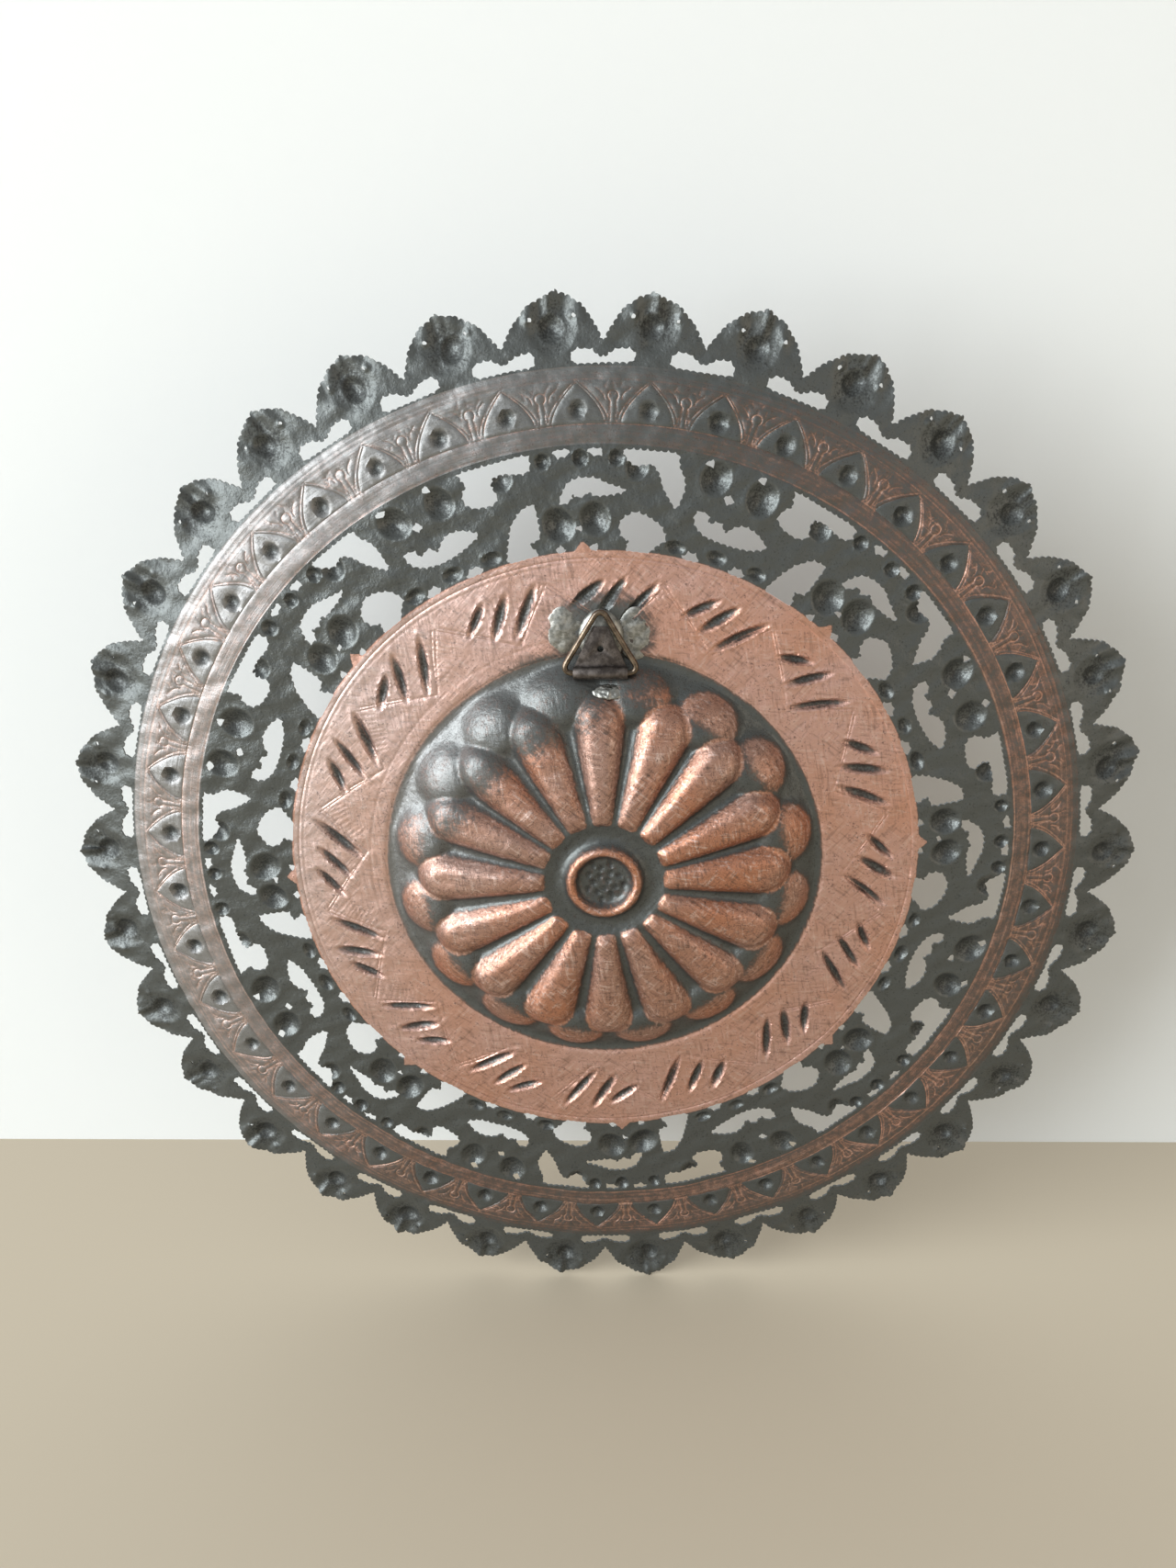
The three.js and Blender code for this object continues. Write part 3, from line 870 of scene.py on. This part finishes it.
def apart(points, others, gap):
    """The points that have none of the others within the gap."""
    tree = tree_of(others)
    return points[np.array([tree.find((x, y, 0))[2] > gap for x, y in points], bool)]


def thinned(points, gap):
    """One point for each small cell, so that crossing lines don't crowd."""
    for shift in (0, 0.5):
        cells = np.floor(points / gap + shift).astype(np.int64)
        _, first = np.unique(cells, axis=0, return_index=True)
        points = points[np.sort(first)]
    return points


def scribe_rows(inner, outer):
    """Mesh points along the scribed lines of a zone: the line itself and a row on each side."""
    rows = []
    for line, _ in SCRIBES:
        line = between_circles(line, inner, outer, 0.25)
        if len(line) > 2:
            offset = sideways(np.gradient(line, axis=0)) * SCRIBE_HALF_WIDTH
            rows += [line, line + offset, line - offset]
    if not rows:
        return np.zeros((0, 2))
    return between_circles(thinned(np.concatenate(rows), SCRIBE_GAP), inner, outer, SEAM_MARGIN)


def rows_clear(rows, loops, openings):
    """Scribed rows that don't run over an edge or an opening."""
    rows = apart(rows, np.concatenate(loops), EDGE_GAP)
    for loop in openings:
        rows = rows[~holds(loop, rows)]
    return rows


def loop_edges(loops):
    """Each loop's edges, in the numbers that the points have when all the loops stand in one row."""
    edges = []
    start = 0
    for loop in loops:
        numbers = list(range(start, start + len(loop)))
        edges.append(list(zip(numbers, numbers[1:] + numbers[:1])))
        start += len(loop)
    return edges


def flat_triangles(points, loops, inner, openings):
    edges = [edge for loop in loop_edges(loops) for edge in loop]
    cut = geometry.delaunay_2d_cdt([Vector(point) for point in points], edges, [], 0, 1e-6)
    triangles, origins = np.array(cut[2]), cut[3]
    source = np.array([origin[0] if origin else -1 for origin in origins])
    triangles = source[triangles]
    triangles = triangles[(triangles >= 0).all(axis=1)]
    middles = points[triangles].mean(axis=1)
    radius = radius_of(middles)
    keep = radius > inner
    beyond = radius > NOTCH_RADIUS - 1
    if beyond.any():
        keep[beyond] &= holds(loops[0], middles[beyond])
    for loop in openings:
        keep &= ~holds(loop, middles)
    return triangles[keep]


def zone_points(step, inner, outer, loops, openings, rows):
    free = apart(strewn(inner, outer, step), np.concatenate([*loops, rows]), 0.55 * step)
    within = np.ones(len(free), bool)
    for loop in openings:
        within &= ~holds(loop, free)
    if outer > RIM_RADIUS:
        degrees = np.degrees(np.arctan2(free[:, 1], free[:, 0]))
        within &= radius_of(free) < petal_reach(degrees) - 0.3
    return free[within]


def zone_side(step, inner, reach, loops, openings, rows, fine):
    """One side of a zone: its points with the back surface's height, its triangles, rub and dents."""
    flat = np.concatenate([*loops, rows, zone_points(step, inner, reach, loops, openings, rows)])
    height, dent_share, scribes = surface(*flat.T, fine)
    rub = bare_copper(*flat.T, dent_share, scribes)
    return np.column_stack([flat, height]), flat_triangles(flat, loops, inner, openings), rub, dent_share


def sheet_zone(name, inner, outer, step, openings=(), outline=None):
    """A ring of the sheet: chased back, plainer front, and walls along every edge."""
    loops = [circle_loop(outer) if outline is None else outline]
    loops += ([circle_loop(inner)] if inner else []) + list(openings)
    reach = outer if outline is None else RIM_RADIUS + 3
    rows = rows_clear(scribe_rows(inner, outer), loops, openings)
    plan = (inner, reach, loops, openings)
    back, back_faces, *back_marks = zone_side(step, *plan, rows, True)
    front, front_faces, *front_marks = zone_side(FRONT_COARSENESS * step, *plan, rows[:0], False)
    front[:, 2] -= sheet_drop(*front[:, :2].T)
    faces = back_faces.tolist() + (front_faces[:, ::-1] + len(back)).tolist()
    faces += zone_walls(loops, len(back))
    marks = zip(("rub", "dent"), back_marks, front_marks)
    joined = {mark: np.concatenate(values) for mark, *values in marks}
    return finished_zone(name, np.concatenate([back, front]), faces, joined)


def sheet_drop(x, y):
    """Distance down from the back surface to the front one, larger where the sheet is steep."""
    step = 0.35
    low_x, high_x = surface(x - step, y, False)[0], surface(x + step, y, False)[0]
    low_y, high_y = surface(x, y - step, False)[0], surface(x, y + step, False)[0]
    slope = np.hypot(high_x - low_x, high_y - low_y) / (2 * step)
    return SHEET * np.minimum(np.hypot(1, slope), STEEPEST_SHEET)


def zone_walls(loops, front_start):
    """Quads from the back edge to the front edge. The outer loop runs anticlockwise."""
    walls = []
    for number, (loop, edges) in enumerate(zip(loops, loop_edges(loops))):
        outward = (signed_area(loop) > 0) == (number == 0)
        for first, second in edges:
            quad = (first, front_start + first, front_start + second, second)
            walls.append(quad if outward else quad[::-1])
    return walls


def finished_zone(name, points, faces, marks):
    mesh = bpy.data.meshes.new(name)
    mesh.from_pydata(upright(points), [], faces)
    for mark, values in marks.items():
        mesh.attributes.new(mark, "FLOAT", "POINT").data.foreach_set("value", values)
    zone = linked(name, mesh)
    only(zone)
    bpy.ops.object.shade_smooth_by_angle(angle=math.radians(40))
    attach(zone, "tray")
    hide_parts("tray_body")
    return zone


def linked(name, data):
    """A new object in the scene."""
    made = bpy.data.objects.new(name, data)
    bpy.context.scene.collection.objects.link(made)
    return made


def only(*things):
    bpy.ops.object.select_all(action="DESELECT")
    for thing in things:
        thing.select_set(True)
    bpy.context.view_layer.objects.active = things[0]


# ---- finishes ----
class Signal:
    """A shader socket that sums can be written on."""

    def __init__(self, nodes, socket):
        self.nodes = nodes
        self.socket = socket

    def math(self, operation, first, second=0.0):
        return self.nodes.node("ShaderNodeMath", {"operation": operation}, {0: first, 1: second})

    def __add__(self, other):
        return self.math("ADD", self, other)

    def __sub__(self, other):
        return self.math("SUBTRACT", self, other)

    def __rsub__(self, other):
        return self.math("SUBTRACT", other, self)

    def __mul__(self, other):
        return self.math("MULTIPLY", self, other)

    __radd__ = __add__
    __rmul__ = __mul__


class Nodes:
    """The shader nodes of a material or of the world."""

    def __init__(self, owner):
        owner.use_nodes = True
        self.owner = owner
        self.tree = owner.node_tree

    def node(self, kind, settings=None, values=None, output=0):
        made = self.tree.nodes.new(kind)
        for setting, value in (settings or {}).items():
            setattr(made, setting, value)
        self.feed(made, values or {})
        return Signal(self, made.outputs[output])

    def feed(self, node, values):
        for name, value in values.items():
            if isinstance(value, Signal):
                self.tree.links.new(value.socket, node.inputs[name])
            else:
                node.inputs[name].default_value = value

    def into(self, name, **values):
        """Feeds a node that stands in the tree from the start."""
        sockets = {socket.replace("_", " "): value for socket, value in values.items()}
        self.feed(self.tree.nodes[name], sockets)

    def colour_mix(self, share, first, second):
        return self.node("ShaderNodeMix", {"data_type": "RGBA"}, {0: share, 6: first, 7: second}, 2)


class Finish(Nodes):
    """One metal and its nodes."""

    def __init__(self, name):
        super().__init__(bpy.data.materials.new(name))
        self.place = self.node("ShaderNodeTexCoord", output="Object")

    def mark(self, name):
        """A value kept on the mesh points."""
        return self.node("ShaderNodeAttribute", {"attribute_name": name}, output="Fac")

    def noise(self, scale, detail=3.0, roughness=0.55, place=None):
        """Grain of the given number of patches to the metre."""
        values = {"Vector": place or self.place, "Scale": scale, "Detail": detail, "Roughness": roughness}
        return self.node("ShaderNodeTexNoise", {}, values, "Fac")

    def strokes(self, turn, width, length):
        """Fine scratches in one direction of the upright sheet, their width and length in millimetres."""
        settings = {"vector_type": "TEXTURE"}
        turned, stretched = (0, math.radians(turn), 0), (length / width, 1, 1)
        values = {"Vector": self.place, "Rotation": turned, "Scale": stretched}
        place = self.node("ShaderNodeMapping", settings, values)
        return self.noise(1 / (width * MM), 2.0, 0.5, place)

    def part(self, axis):
        return self.node("ShaderNodeSeparateXYZ", {}, {"Vector": self.place}, axis)

    def turned_streaks(self, scale):
        """Streaks that run round the tray's middle."""
        x, z = self.part("X"), self.part("Z")
        radius = self.node("ShaderNodeMath", {"operation": "SQRT"}, {0: x * x + z * z})
        place = self.node("ShaderNodeCombineXYZ", {}, {"X": radius * scale, "Y": x * 14.0, "Z": z * 14.0})
        return self.noise(1.0, 3.0, 0.6, place)

    def between(self, value, low, high):
        """0 below low, 1 above high, smooth in between."""
        values = {"Value": value, "From Min": low, "From Max": high}
        return self.node("ShaderNodeMapRange", {"interpolation_type": "SMOOTHSTEP"}, values)

    def finish(self, colour, roughness, height, strength, distance, metallic=1.0):
        values = {"Height": height, "Strength": strength, "Distance": distance}
        bump = self.node("ShaderNodeBump", {}, values)
        self.into("Principled BSDF", Base_Color=colour, Roughness=roughness, Metallic=metallic, Normal=bump)
        return self.owner


def rgb(red, green, blue):
    return (red, green, blue, 1.0)


PINK_COPPER = rgb(0.62, 0.40, 0.345)
WARM_COPPER = rgb(0.61, 0.35, 0.265)
ORANGE_COPPER = rgb(0.56, 0.265, 0.165)
DUSKY_COPPER = rgb(0.47, 0.30, 0.245)
PALE_COPPER = rgb(0.74, 0.56, 0.50)
BROWN_COPPER = rgb(0.50, 0.33, 0.25)
# Pale grey used as painted sheen, standing in for the window's reflection on the upper left.
PAINTED_SHEEN_COLOUR = rgb(0.56, 0.545, 0.545)
OLD_COPPER = rgb(0.17, 0.11, 0.09)
SLATE = rgb(0.105, 0.114, 0.112)
BLACKENED = rgb(0.025, 0.026, 0.026)
DARK_BRONZE = rgb(0.11, 0.085, 0.065)
BRIGHT_BRONZE = rgb(0.24, 0.19, 0.14)
DARK_STRIP = rgb(0.075, 0.065, 0.06)
BRIGHT_STRIP = rgb(0.17, 0.15, 0.14)
DARK_SOLDER = rgb(0.22, 0.225, 0.21)
BRIGHT_SOLDER = rgb(0.42, 0.42, 0.395)


def chased_copper(name, bare, dark_roughness, patch_scale, patch_width, strokes, stroke_share, painted_sheen=0.0,
                  grime_start=0.55):
    """Dark patina over copper, worn through where the sheet stands proud or was scribed, with a painted
    pale sheen towards the upper left that stands in for the window's reflection."""
    finish = Finish(name)
    rub = finish.mark("rub")
    dent = finish.mark("dent")
    patches = finish.noise(patch_scale, 5.0, 0.7)
    grain = finish.noise(patch_scale * 5, 3.0, 0.6)
    cloud = finish.noise(36.0, 3.0, 0.5)
    first, second = strokes(finish)
    worn = rub + (patches - 0.5) * patch_width + (grain - 0.5) * (patch_width * 0.6) + (first - 0.5) * 0.4
    copper = finish.between(worn, 0.28, 0.62)
    old = finish.colour_mix(finish.between(worn, 0.08, 0.5), SLATE, OLD_COPPER)
    metal = finish.colour_mix(finish.between(cloud, 0.3, 0.7), *bare)
    bright = finish.between(first, 0.56, 0.7) + finish.between(second, 0.56, 0.7)
    metal = finish.colour_mix(bright * stroke_share, metal, PALE_COPPER)
    scratched = finish.between(first, 0.44, 0.32) + finish.between(second, 0.44, 0.32)
    metal = finish.colour_mix(scratched * (stroke_share * 0.75), metal, OLD_COPPER)
    colour = finish.colour_mix(copper, old, metal)
    # Painted sheen: pale grey mixed in towards the upper left, away from the dents, standing in for the
    # window's reflection.
    across, up = finish.part("X"), finish.part("Z")
    painted_sheen_side = finish.between(across - up * 0.35, -0.01, -0.14)
    colour = finish.colour_mix(painted_sheen_side * (0.4 + patches * 0.6) * (1 - dent) * painted_sheen, colour, PAINTED_SHEEN_COLOUR)
    grime = finish.between(grain + dent * 0.2 + (patches - 0.5) * 0.5, grime_start, grime_start + 0.23)
    colour = finish.colour_mix(grime * 0.65, colour, BLACKENED)
    roughness = dark_roughness + copper * 0.08 + (patches - 0.5) * 0.3 + grime * 0.12
    height = grain * 0.5 + patches * 0.6 + first * 1.1 + second * 1.1
    return finish.finish(colour, roughness, height, 0.5, 0.00018, 0.72 + copper * 0.23)


def crossed_scratches(finish):
    """Short scratches that change direction from patch to patch."""
    patch = finish.between(finish.noise(55.0, 1.0, 0.5), 0.46, 0.54)
    rising, steep = finish.strokes(38, 0.9, 7.0), finish.strokes(80, 0.8, 6.0)
    falling, level = finish.strokes(-48, 0.9, 7.0), finish.strokes(5, 0.8, 5.0)
    return rising + (steep - rising) * patch, falling + (level - falling) * patch


def turned_scratches(finish):
    return finish.turned_streaks(1300.0), finish.strokes(15, 1.0, 8.0)


def dimples(finish):
    """Small hammer marks and pits all over."""
    return finish.noise(800.0, 3.0, 0.6), finish.noise(1300.0, 2.0, 0.6)


def plain_metal(name, low, high, scale, roughness, specks=0.5):
    """Cast or drawn metal with clouded colour and small dark specks."""
    finish = Finish(name)
    cloud = finish.noise(scale, 4.0, 0.65)
    grain = finish.noise(scale * 7, 2.0, 0.5)
    colour = finish.colour_mix(finish.between(cloud, 0.35, 0.65), low, high)
    colour = finish.colour_mix(finish.between(grain, 0.58, 0.75) * specks, colour, BLACKENED)
    rough = roughness + (cloud - 0.5) * 0.3 + (grain - 0.5) * 0.15
    return finish.finish(colour, rough, cloud * 0.6 + grain * 0.5, 0.4, 0.0001)


# ---- hanger and solder: modelled round the bar's axis, x along it, y up the strap, z off the sheet ----
BED_PLACE = (0.2, 9.6)
LEFT_PLACE = (-10.2, 11.8)
RIGHT_PLACE = (9.8, 10.6)
LOWER_PLACE = (HANGER_X + 2.4, 56.4, 18.4)
LOWER_SLOPE = math.radians(42)
UPRIGHT = math.radians(90)


def hanger_place():
    """Hanger axes in metres to the part's frame."""
    middle = upright([(HANGER_X, BAR_Y, BAR_Z)])[0]
    return Matrix.Translation(middle) @ Matrix.Rotation(UPRIGHT - HANGER_TILT, 4, "X")


def settled(thing):
    """Keeps a piece's place, turn and size in its mesh."""
    only(thing)
    bpy.ops.object.transform_apply(location=True, rotation=True, scale=True)


def sunk_in(thing, place):
    thing.matrix_world = place @ thing.matrix_world
    settled(thing)


def applied(thing, kind, **settings):
    modifier = thing.modifiers.new(kind.lower(), kind)
    for setting, value in settings.items():
        setattr(modifier, setting, value)
    only(thing)
    bpy.ops.object.modifier_apply(modifier=modifier.name)


def hanger_ring():
    """Wire bent to a triangle with rounded corners."""
    corner = RING_CORNER - WIRE / 2
    half = RING_WIDTH / 2 - RING_CORNER
    top = RING_HEIGHT - WIRE / 2 - RING_CORNER
    lean = math.atan2(top - corner, half)
    reach = half * math.sin(lean) + corner * math.cos(lean) + corner
    bpy.ops.mesh.primitive_circle_add(vertices=3, radius=1)
    ring = bpy.context.object
    ring.name = "hanger_ring_wire"
    sharp = [(0, reach / math.cos(lean)), (-reach / math.sin(lean), 0), (reach / math.sin(lean), 0)]
    for vertex, (x, y) in zip(sorted(ring.data.vertices, key=lambda v: (-v.co.y, v.co.x)), sharp):
        vertex.co = (x * MM, y * MM, 0)
    bpy.ops.object.mode_set(mode="EDIT")
    bpy.ops.mesh.select_all(action="SELECT")
    bpy.ops.mesh.bevel(offset=RING_CORNER_CUT * MM, segments=8, affect="VERTICES")
    bpy.ops.object.mode_set(mode="OBJECT")
    bpy.ops.object.convert(target="CURVE")
    ring.data.bevel_depth = WIRE / 2 * MM
    ring.data.bevel_resolution = 6
    bpy.ops.object.convert(target="MESH")
    ring = bpy.context.object
    bpy.ops.object.shade_smooth_by_angle(angle=math.radians(40))
    sunk_in(ring, hanger_place())
    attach(ring, "ring")
    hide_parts("hanger_ring")
    return ring


def barrel():
    """Strip rolled round the bar."""
    bpy.ops.mesh.primitive_cylinder_add(vertices=40, radius=BARREL_OUTER / 2 * MM, depth=BARREL_LENGTH * MM,
                                        end_fill_type="NOTHING", rotation=(0, UPRIGHT, 0))
    tube = bpy.context.object
    tube.name = "hanger_barrel"
    settled(tube)
    applied(tube, "SOLIDIFY", thickness=(BARREL_OUTER - BARREL_BORE) / 2 * MM, offset=-1)
    applied(tube, "BEVEL", width=BARREL_EDGE * MM, segments=2, limit_method="ANGLE")
    return tube


def punched(thing, place):
    """Cuts the leaf's hole through a thing."""
    bpy.ops.mesh.primitive_cylinder_add(vertices=24, radius=LEAF_HOLE / 2 * MM, depth=PUNCH_LENGTH * MM)
    punch = bpy.context.object
    punch.matrix_world = place
    applied(thing, "BOOLEAN", operation="DIFFERENCE", object=punch, solver="EXACT")
    bpy.data.objects.remove(punch)


def leaf_layer(low, high):
    """One layer of the tapered leaf, with the hole through it."""
    bpy.ops.mesh.primitive_plane_add(size=1)
    leaf = bpy.context.object
    leaf.name = "hanger_leaf"
    foot = BARREL_BORE / 2 - LEAF_TUCK
    for vertex in leaf.data.vertices:
        width = LEAF_TOP_WIDTH if vertex.co.y > 0 else LEAF_BASE_WIDTH
        rise = LEAF_HEIGHT if vertex.co.y > 0 else foot
        side = math.copysign(width / 2, vertex.co.x)
        vertex.co = (side * MM, rise * MM, low * MM)
    applied(leaf, "SOLIDIFY", thickness=(high - low) * MM, offset=1)
    punched(leaf, Matrix.Translation((0, LEAF_HOLE_RISE * MM, low * MM)))
    applied(leaf, "BEVEL", width=LEAF_EDGE * MM, segments=2, limit_method="ANGLE")
    return leaf


def hanger_strap():
    low = -BARREL_OUTER / 2
    middle = low + LEAF_THICKNESS / 2
    under = leaf_layer(low, middle - LEAF_GAP / 2)
    parts = [barrel(), under, leaf_layer(middle + LEAF_GAP / 2, low + LEAF_THICKNESS)]
    only(*parts)
    bpy.ops.object.join()
    strap = bpy.context.object
    strap.name = "hanger_strap_strip"
    bpy.ops.object.shade_smooth_by_angle(angle=math.radians(35))
    sunk_in(strap, hanger_place())
    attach(strap, "tray")
    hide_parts("hanger_strap")
    return strap


def solder_blob(name, node, place, size, roughness, bubble):
    """A frozen splash of solder: a flattened ball, roughened by bubbles and pressed flat below."""
    bpy.ops.mesh.primitive_uv_sphere_add(segments=72, ring_count=36, radius=1)
    blob = bpy.context.object
    blob.name = name
    blob.scale = [extent * MM for extent in size]
    settled(blob)
    bubbles = bpy.data.textures.new(name, "CLOUDS")
    bubbles.noise_scale = bubble * MM
    bubbles.noise_depth = 2
    strength = roughness * MM
    applied(blob, "DISPLACE", texture=bubbles, strength=strength, texture_coords="LOCAL", mid_level=0.5)
    for vertex in blob.data.vertices:
        vertex.co.z = max(vertex.co.z, 0.02 * vertex.co.z)
    bpy.ops.object.shade_smooth_by_angle(angle=math.radians(60))
    sunk_in(blob, place)
    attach(blob, "tray")
    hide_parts(node)
    return blob


def on_sheet(x, y):
    """A place on the sheet under the hanger, in the hanger's own axes."""
    return hanger_place() @ Matrix.Translation((x * MM, y * MM, -BASE_BELOW_BAR * MM))


def solder_pieces():
    tip = upright([LOWER_PLACE])[0]
    lower = Matrix.Translation(tip) @ Matrix.Rotation(UPRIGHT - LOWER_SLOPE, 4, "X")
    bed, left, right = on_sheet(*BED_PLACE), on_sheet(*LEFT_PLACE), on_sheet(*RIGHT_PLACE)
    puddle = solder_blob("solder_bed_puddle", "solder_bed", bed, (6.6, 8.4, 2.6), 0.5, 3.4)
    punched(puddle, hanger_place() @ Matrix.Translation((0, LEAF_HOLE_RISE * MM, 0)))
    return [
        puddle,
        solder_blob("solder_left_splash", "solder_left_dab", left, (5.4, 7.2, 0.75), 0.55, 3.6),
        solder_blob("solder_right_splash", "solder_right_dab", right, (5.2, 7.8, 0.6), 0.55, 3.0),
        solder_blob("solder_lower_splash", "solder_lower_dab", lower, (4.8, 2.4, 0.8), 0.8, 1.8),
    ]


def dress(things, material):
    for thing in things:
        thing.data.materials.clear()
        thing.data.materials.append(material)


# ---- studio ----
FLOOR_HEIGHT = TRAY_LOW[2] * MM - 0.0005
WALL_DEPTH = 0.091
BACKDROP_SIZE = 6
FLOOR_COLOUR = rgb(0.535, 0.47, 0.36)
WALL_COLOUR = rgb(0.745, 0.775, 0.775)
LEFT_LIGHT = rgb(0.64, 0.68, 0.71)
RIGHT_LIGHT = rgb(0.39, 0.36, 0.32)
CAMERA_LENS = 31.94
CAMERA_PLACE = (0.0014, -0.3843, 0.1762)
CAMERA_TURN = (68.72, 0.36, 0.78)


def backdrop_finish(name, colour):
    """A matt sheet that can be seen from its front side only."""
    nodes = Nodes(bpy.data.materials.new(name))
    nodes.into("Principled BSDF", Base_Color=colour, Roughness=0.8)
    matt = Signal(nodes, nodes.tree.nodes["Principled BSDF"].outputs[0])
    clear = nodes.node("ShaderNodeBsdfTransparent")
    behind = nodes.node("ShaderNodeNewGeometry", output="Backfacing")
    one_sided = nodes.node("ShaderNodeMixShader", {}, {0: behind, 1: matt, 2: clear})
    nodes.into("Material Output", Surface=one_sided)
    return nodes.owner


def backdrop(name, location, rotation, colour):
    bpy.ops.mesh.primitive_plane_add(size=BACKDROP_SIZE, location=location, rotation=rotation)
    sheet = bpy.context.object
    sheet.name = name
    dress([sheet], backdrop_finish(name, colour))
    return sheet


def area_light(name, location, size, power, colour):
    light = bpy.data.lights.new(name, "AREA")
    light.shape = "SQUARE"
    light.size = size
    light.energy = power
    light.color = colour
    lamp = linked(name, light)
    lamp.location = location
    lamp.rotation_euler = (-Vector(location)).to_track_quat("-Z", "Y").to_euler()


def studio():
    backdrop("floor", (0, 0, FLOOR_HEIGHT), (0, 0, 0), FLOOR_COLOUR)
    wall = backdrop("wall", (0, WALL_DEPTH, 0), (UPRIGHT, 0, 0), WALL_COLOUR)
    for ray in ("visible_diffuse", "visible_glossy", "visible_shadow"):
        setattr(wall, ray, False)
    area_light("window", (-2.5, -1.7, 0.85), 2.4, 146, (0.95, 0.98, 1.0))
    area_light("room", (1.3, -1.1, 0.2), 1.0, 4, (1.0, 0.82, 0.64))
    bpy.context.scene.world = room_light()
    bpy.context.scene.view_settings.view_transform = "Standard"


def room_light():
    """Soft light all round: cool and bright on the left, warm and dimmer on the right, and
    brighter from beyond the tray, so that its front isn't in the dark."""
    nodes = Nodes(bpy.data.worlds.new("room_light"))
    direction = nodes.node("ShaderNodeTexCoord", output="Generated")
    across = nodes.node("ShaderNodeSeparateXYZ", {}, {0: direction}, "X")
    depth = nodes.node("ShaderNodeSeparateXYZ", {}, {0: direction}, "Y")
    share = nodes.node("ShaderNodeMapRange", {}, {"Value": across, "From Min": -1})
    limits = {"Value": depth, "From Min": -0.2, "To Min": 0.9, "To Max": 2.2}
    beyond = nodes.node("ShaderNodeMapRange", {}, limits)
    nodes.into("Background", Color=nodes.colour_mix(share, LEFT_LIGHT, RIGHT_LIGHT), Strength=beyond)
    return nodes.owner


def camera():
    data = bpy.data.cameras.new("camera")
    data.lens = CAMERA_LENS
    made = linked("camera", data)
    made.location = CAMERA_PLACE
    made.rotation_euler = Euler([math.radians(turn) for turn in CAMERA_TURN])
    bpy.context.scene.camera = made


# ---- the tray ----
plan_border_dents()
plan_cup_dents()
plan_band_dents()
plan_gallery_dents()
plan_base_gouges()
plan_band_lines()
plan_base_lines()
plan_gallery_lines()
SCRIBE_TREE, SCRIBE_STRENGTHS = scribe_tree()

camera()
studio()

rosette = sheet_zone("rosette", 0, ROSETTE_RADIUS, ROSETTE_STEP)
base = sheet_zone("base_ring", ROSETTE_RADIUS, BASE_RADIUS, BASE_STEP)
gallery = sheet_zone("gallery", BASE_RADIUS, BAND_RADIUS, GALLERY_STEP, gallery_openings())
band = sheet_zone("arch_band", BAND_RADIUS, BORDER_RADIUS, BAND_STEP)
border = sheet_zone("petal_border", BORDER_RADIUS, RIM_RADIUS, BORDER_STEP, border_openings(), rim_loop())

petal_copper = (DUSKY_COPPER, ORANGE_COPPER)
ring_copper = (PINK_COPPER, WARM_COPPER)
band_copper = (BROWN_COPPER, WARM_COPPER)
# The sheen amounts below set how strongly each ring gets the painted sheen towards the upper left.
dress([rosette], chased_copper("rosette_copper", petal_copper, dark_roughness=0.37, patch_scale=640.0,
                               patch_width=1.0, strokes=crossed_scratches, stroke_share=0.6, painted_sheen=0.7,
                               grime_start=0.48))
dress([base], chased_copper("base_copper", ring_copper, dark_roughness=0.4, patch_scale=300.0,
                            patch_width=0.5, strokes=crossed_scratches, stroke_share=0.4, painted_sheen=0.85))
dress([gallery], chased_copper("gallery_patina", ring_copper, dark_roughness=0.36, patch_scale=330.0,
                               patch_width=0.35, strokes=dimples, stroke_share=0.2))
dress([band], chased_copper("band_copper", band_copper, dark_roughness=0.42, patch_scale=480.0,
                            patch_width=0.6, strokes=turned_scratches, stroke_share=0.35, painted_sheen=0.55))
dress([border], chased_copper("border_patina", ring_copper, dark_roughness=0.42, patch_scale=300.0,
                              patch_width=0.35, strokes=dimples, stroke_share=0.2))

bronze = plain_metal("antique_bronze", DARK_BRONZE, BRIGHT_BRONZE, 500.0, 0.32)
dull_strip = plain_metal("dull_strip", DARK_STRIP, BRIGHT_STRIP, 420.0, 0.5, 0.8)
solder = plain_metal("solder", DARK_SOLDER, BRIGHT_SOLDER, 600.0, 0.4)
dress([hanger_ring()], bronze)
dress([hanger_strap()], dull_strip)
dress(solder_pieces(), solder)
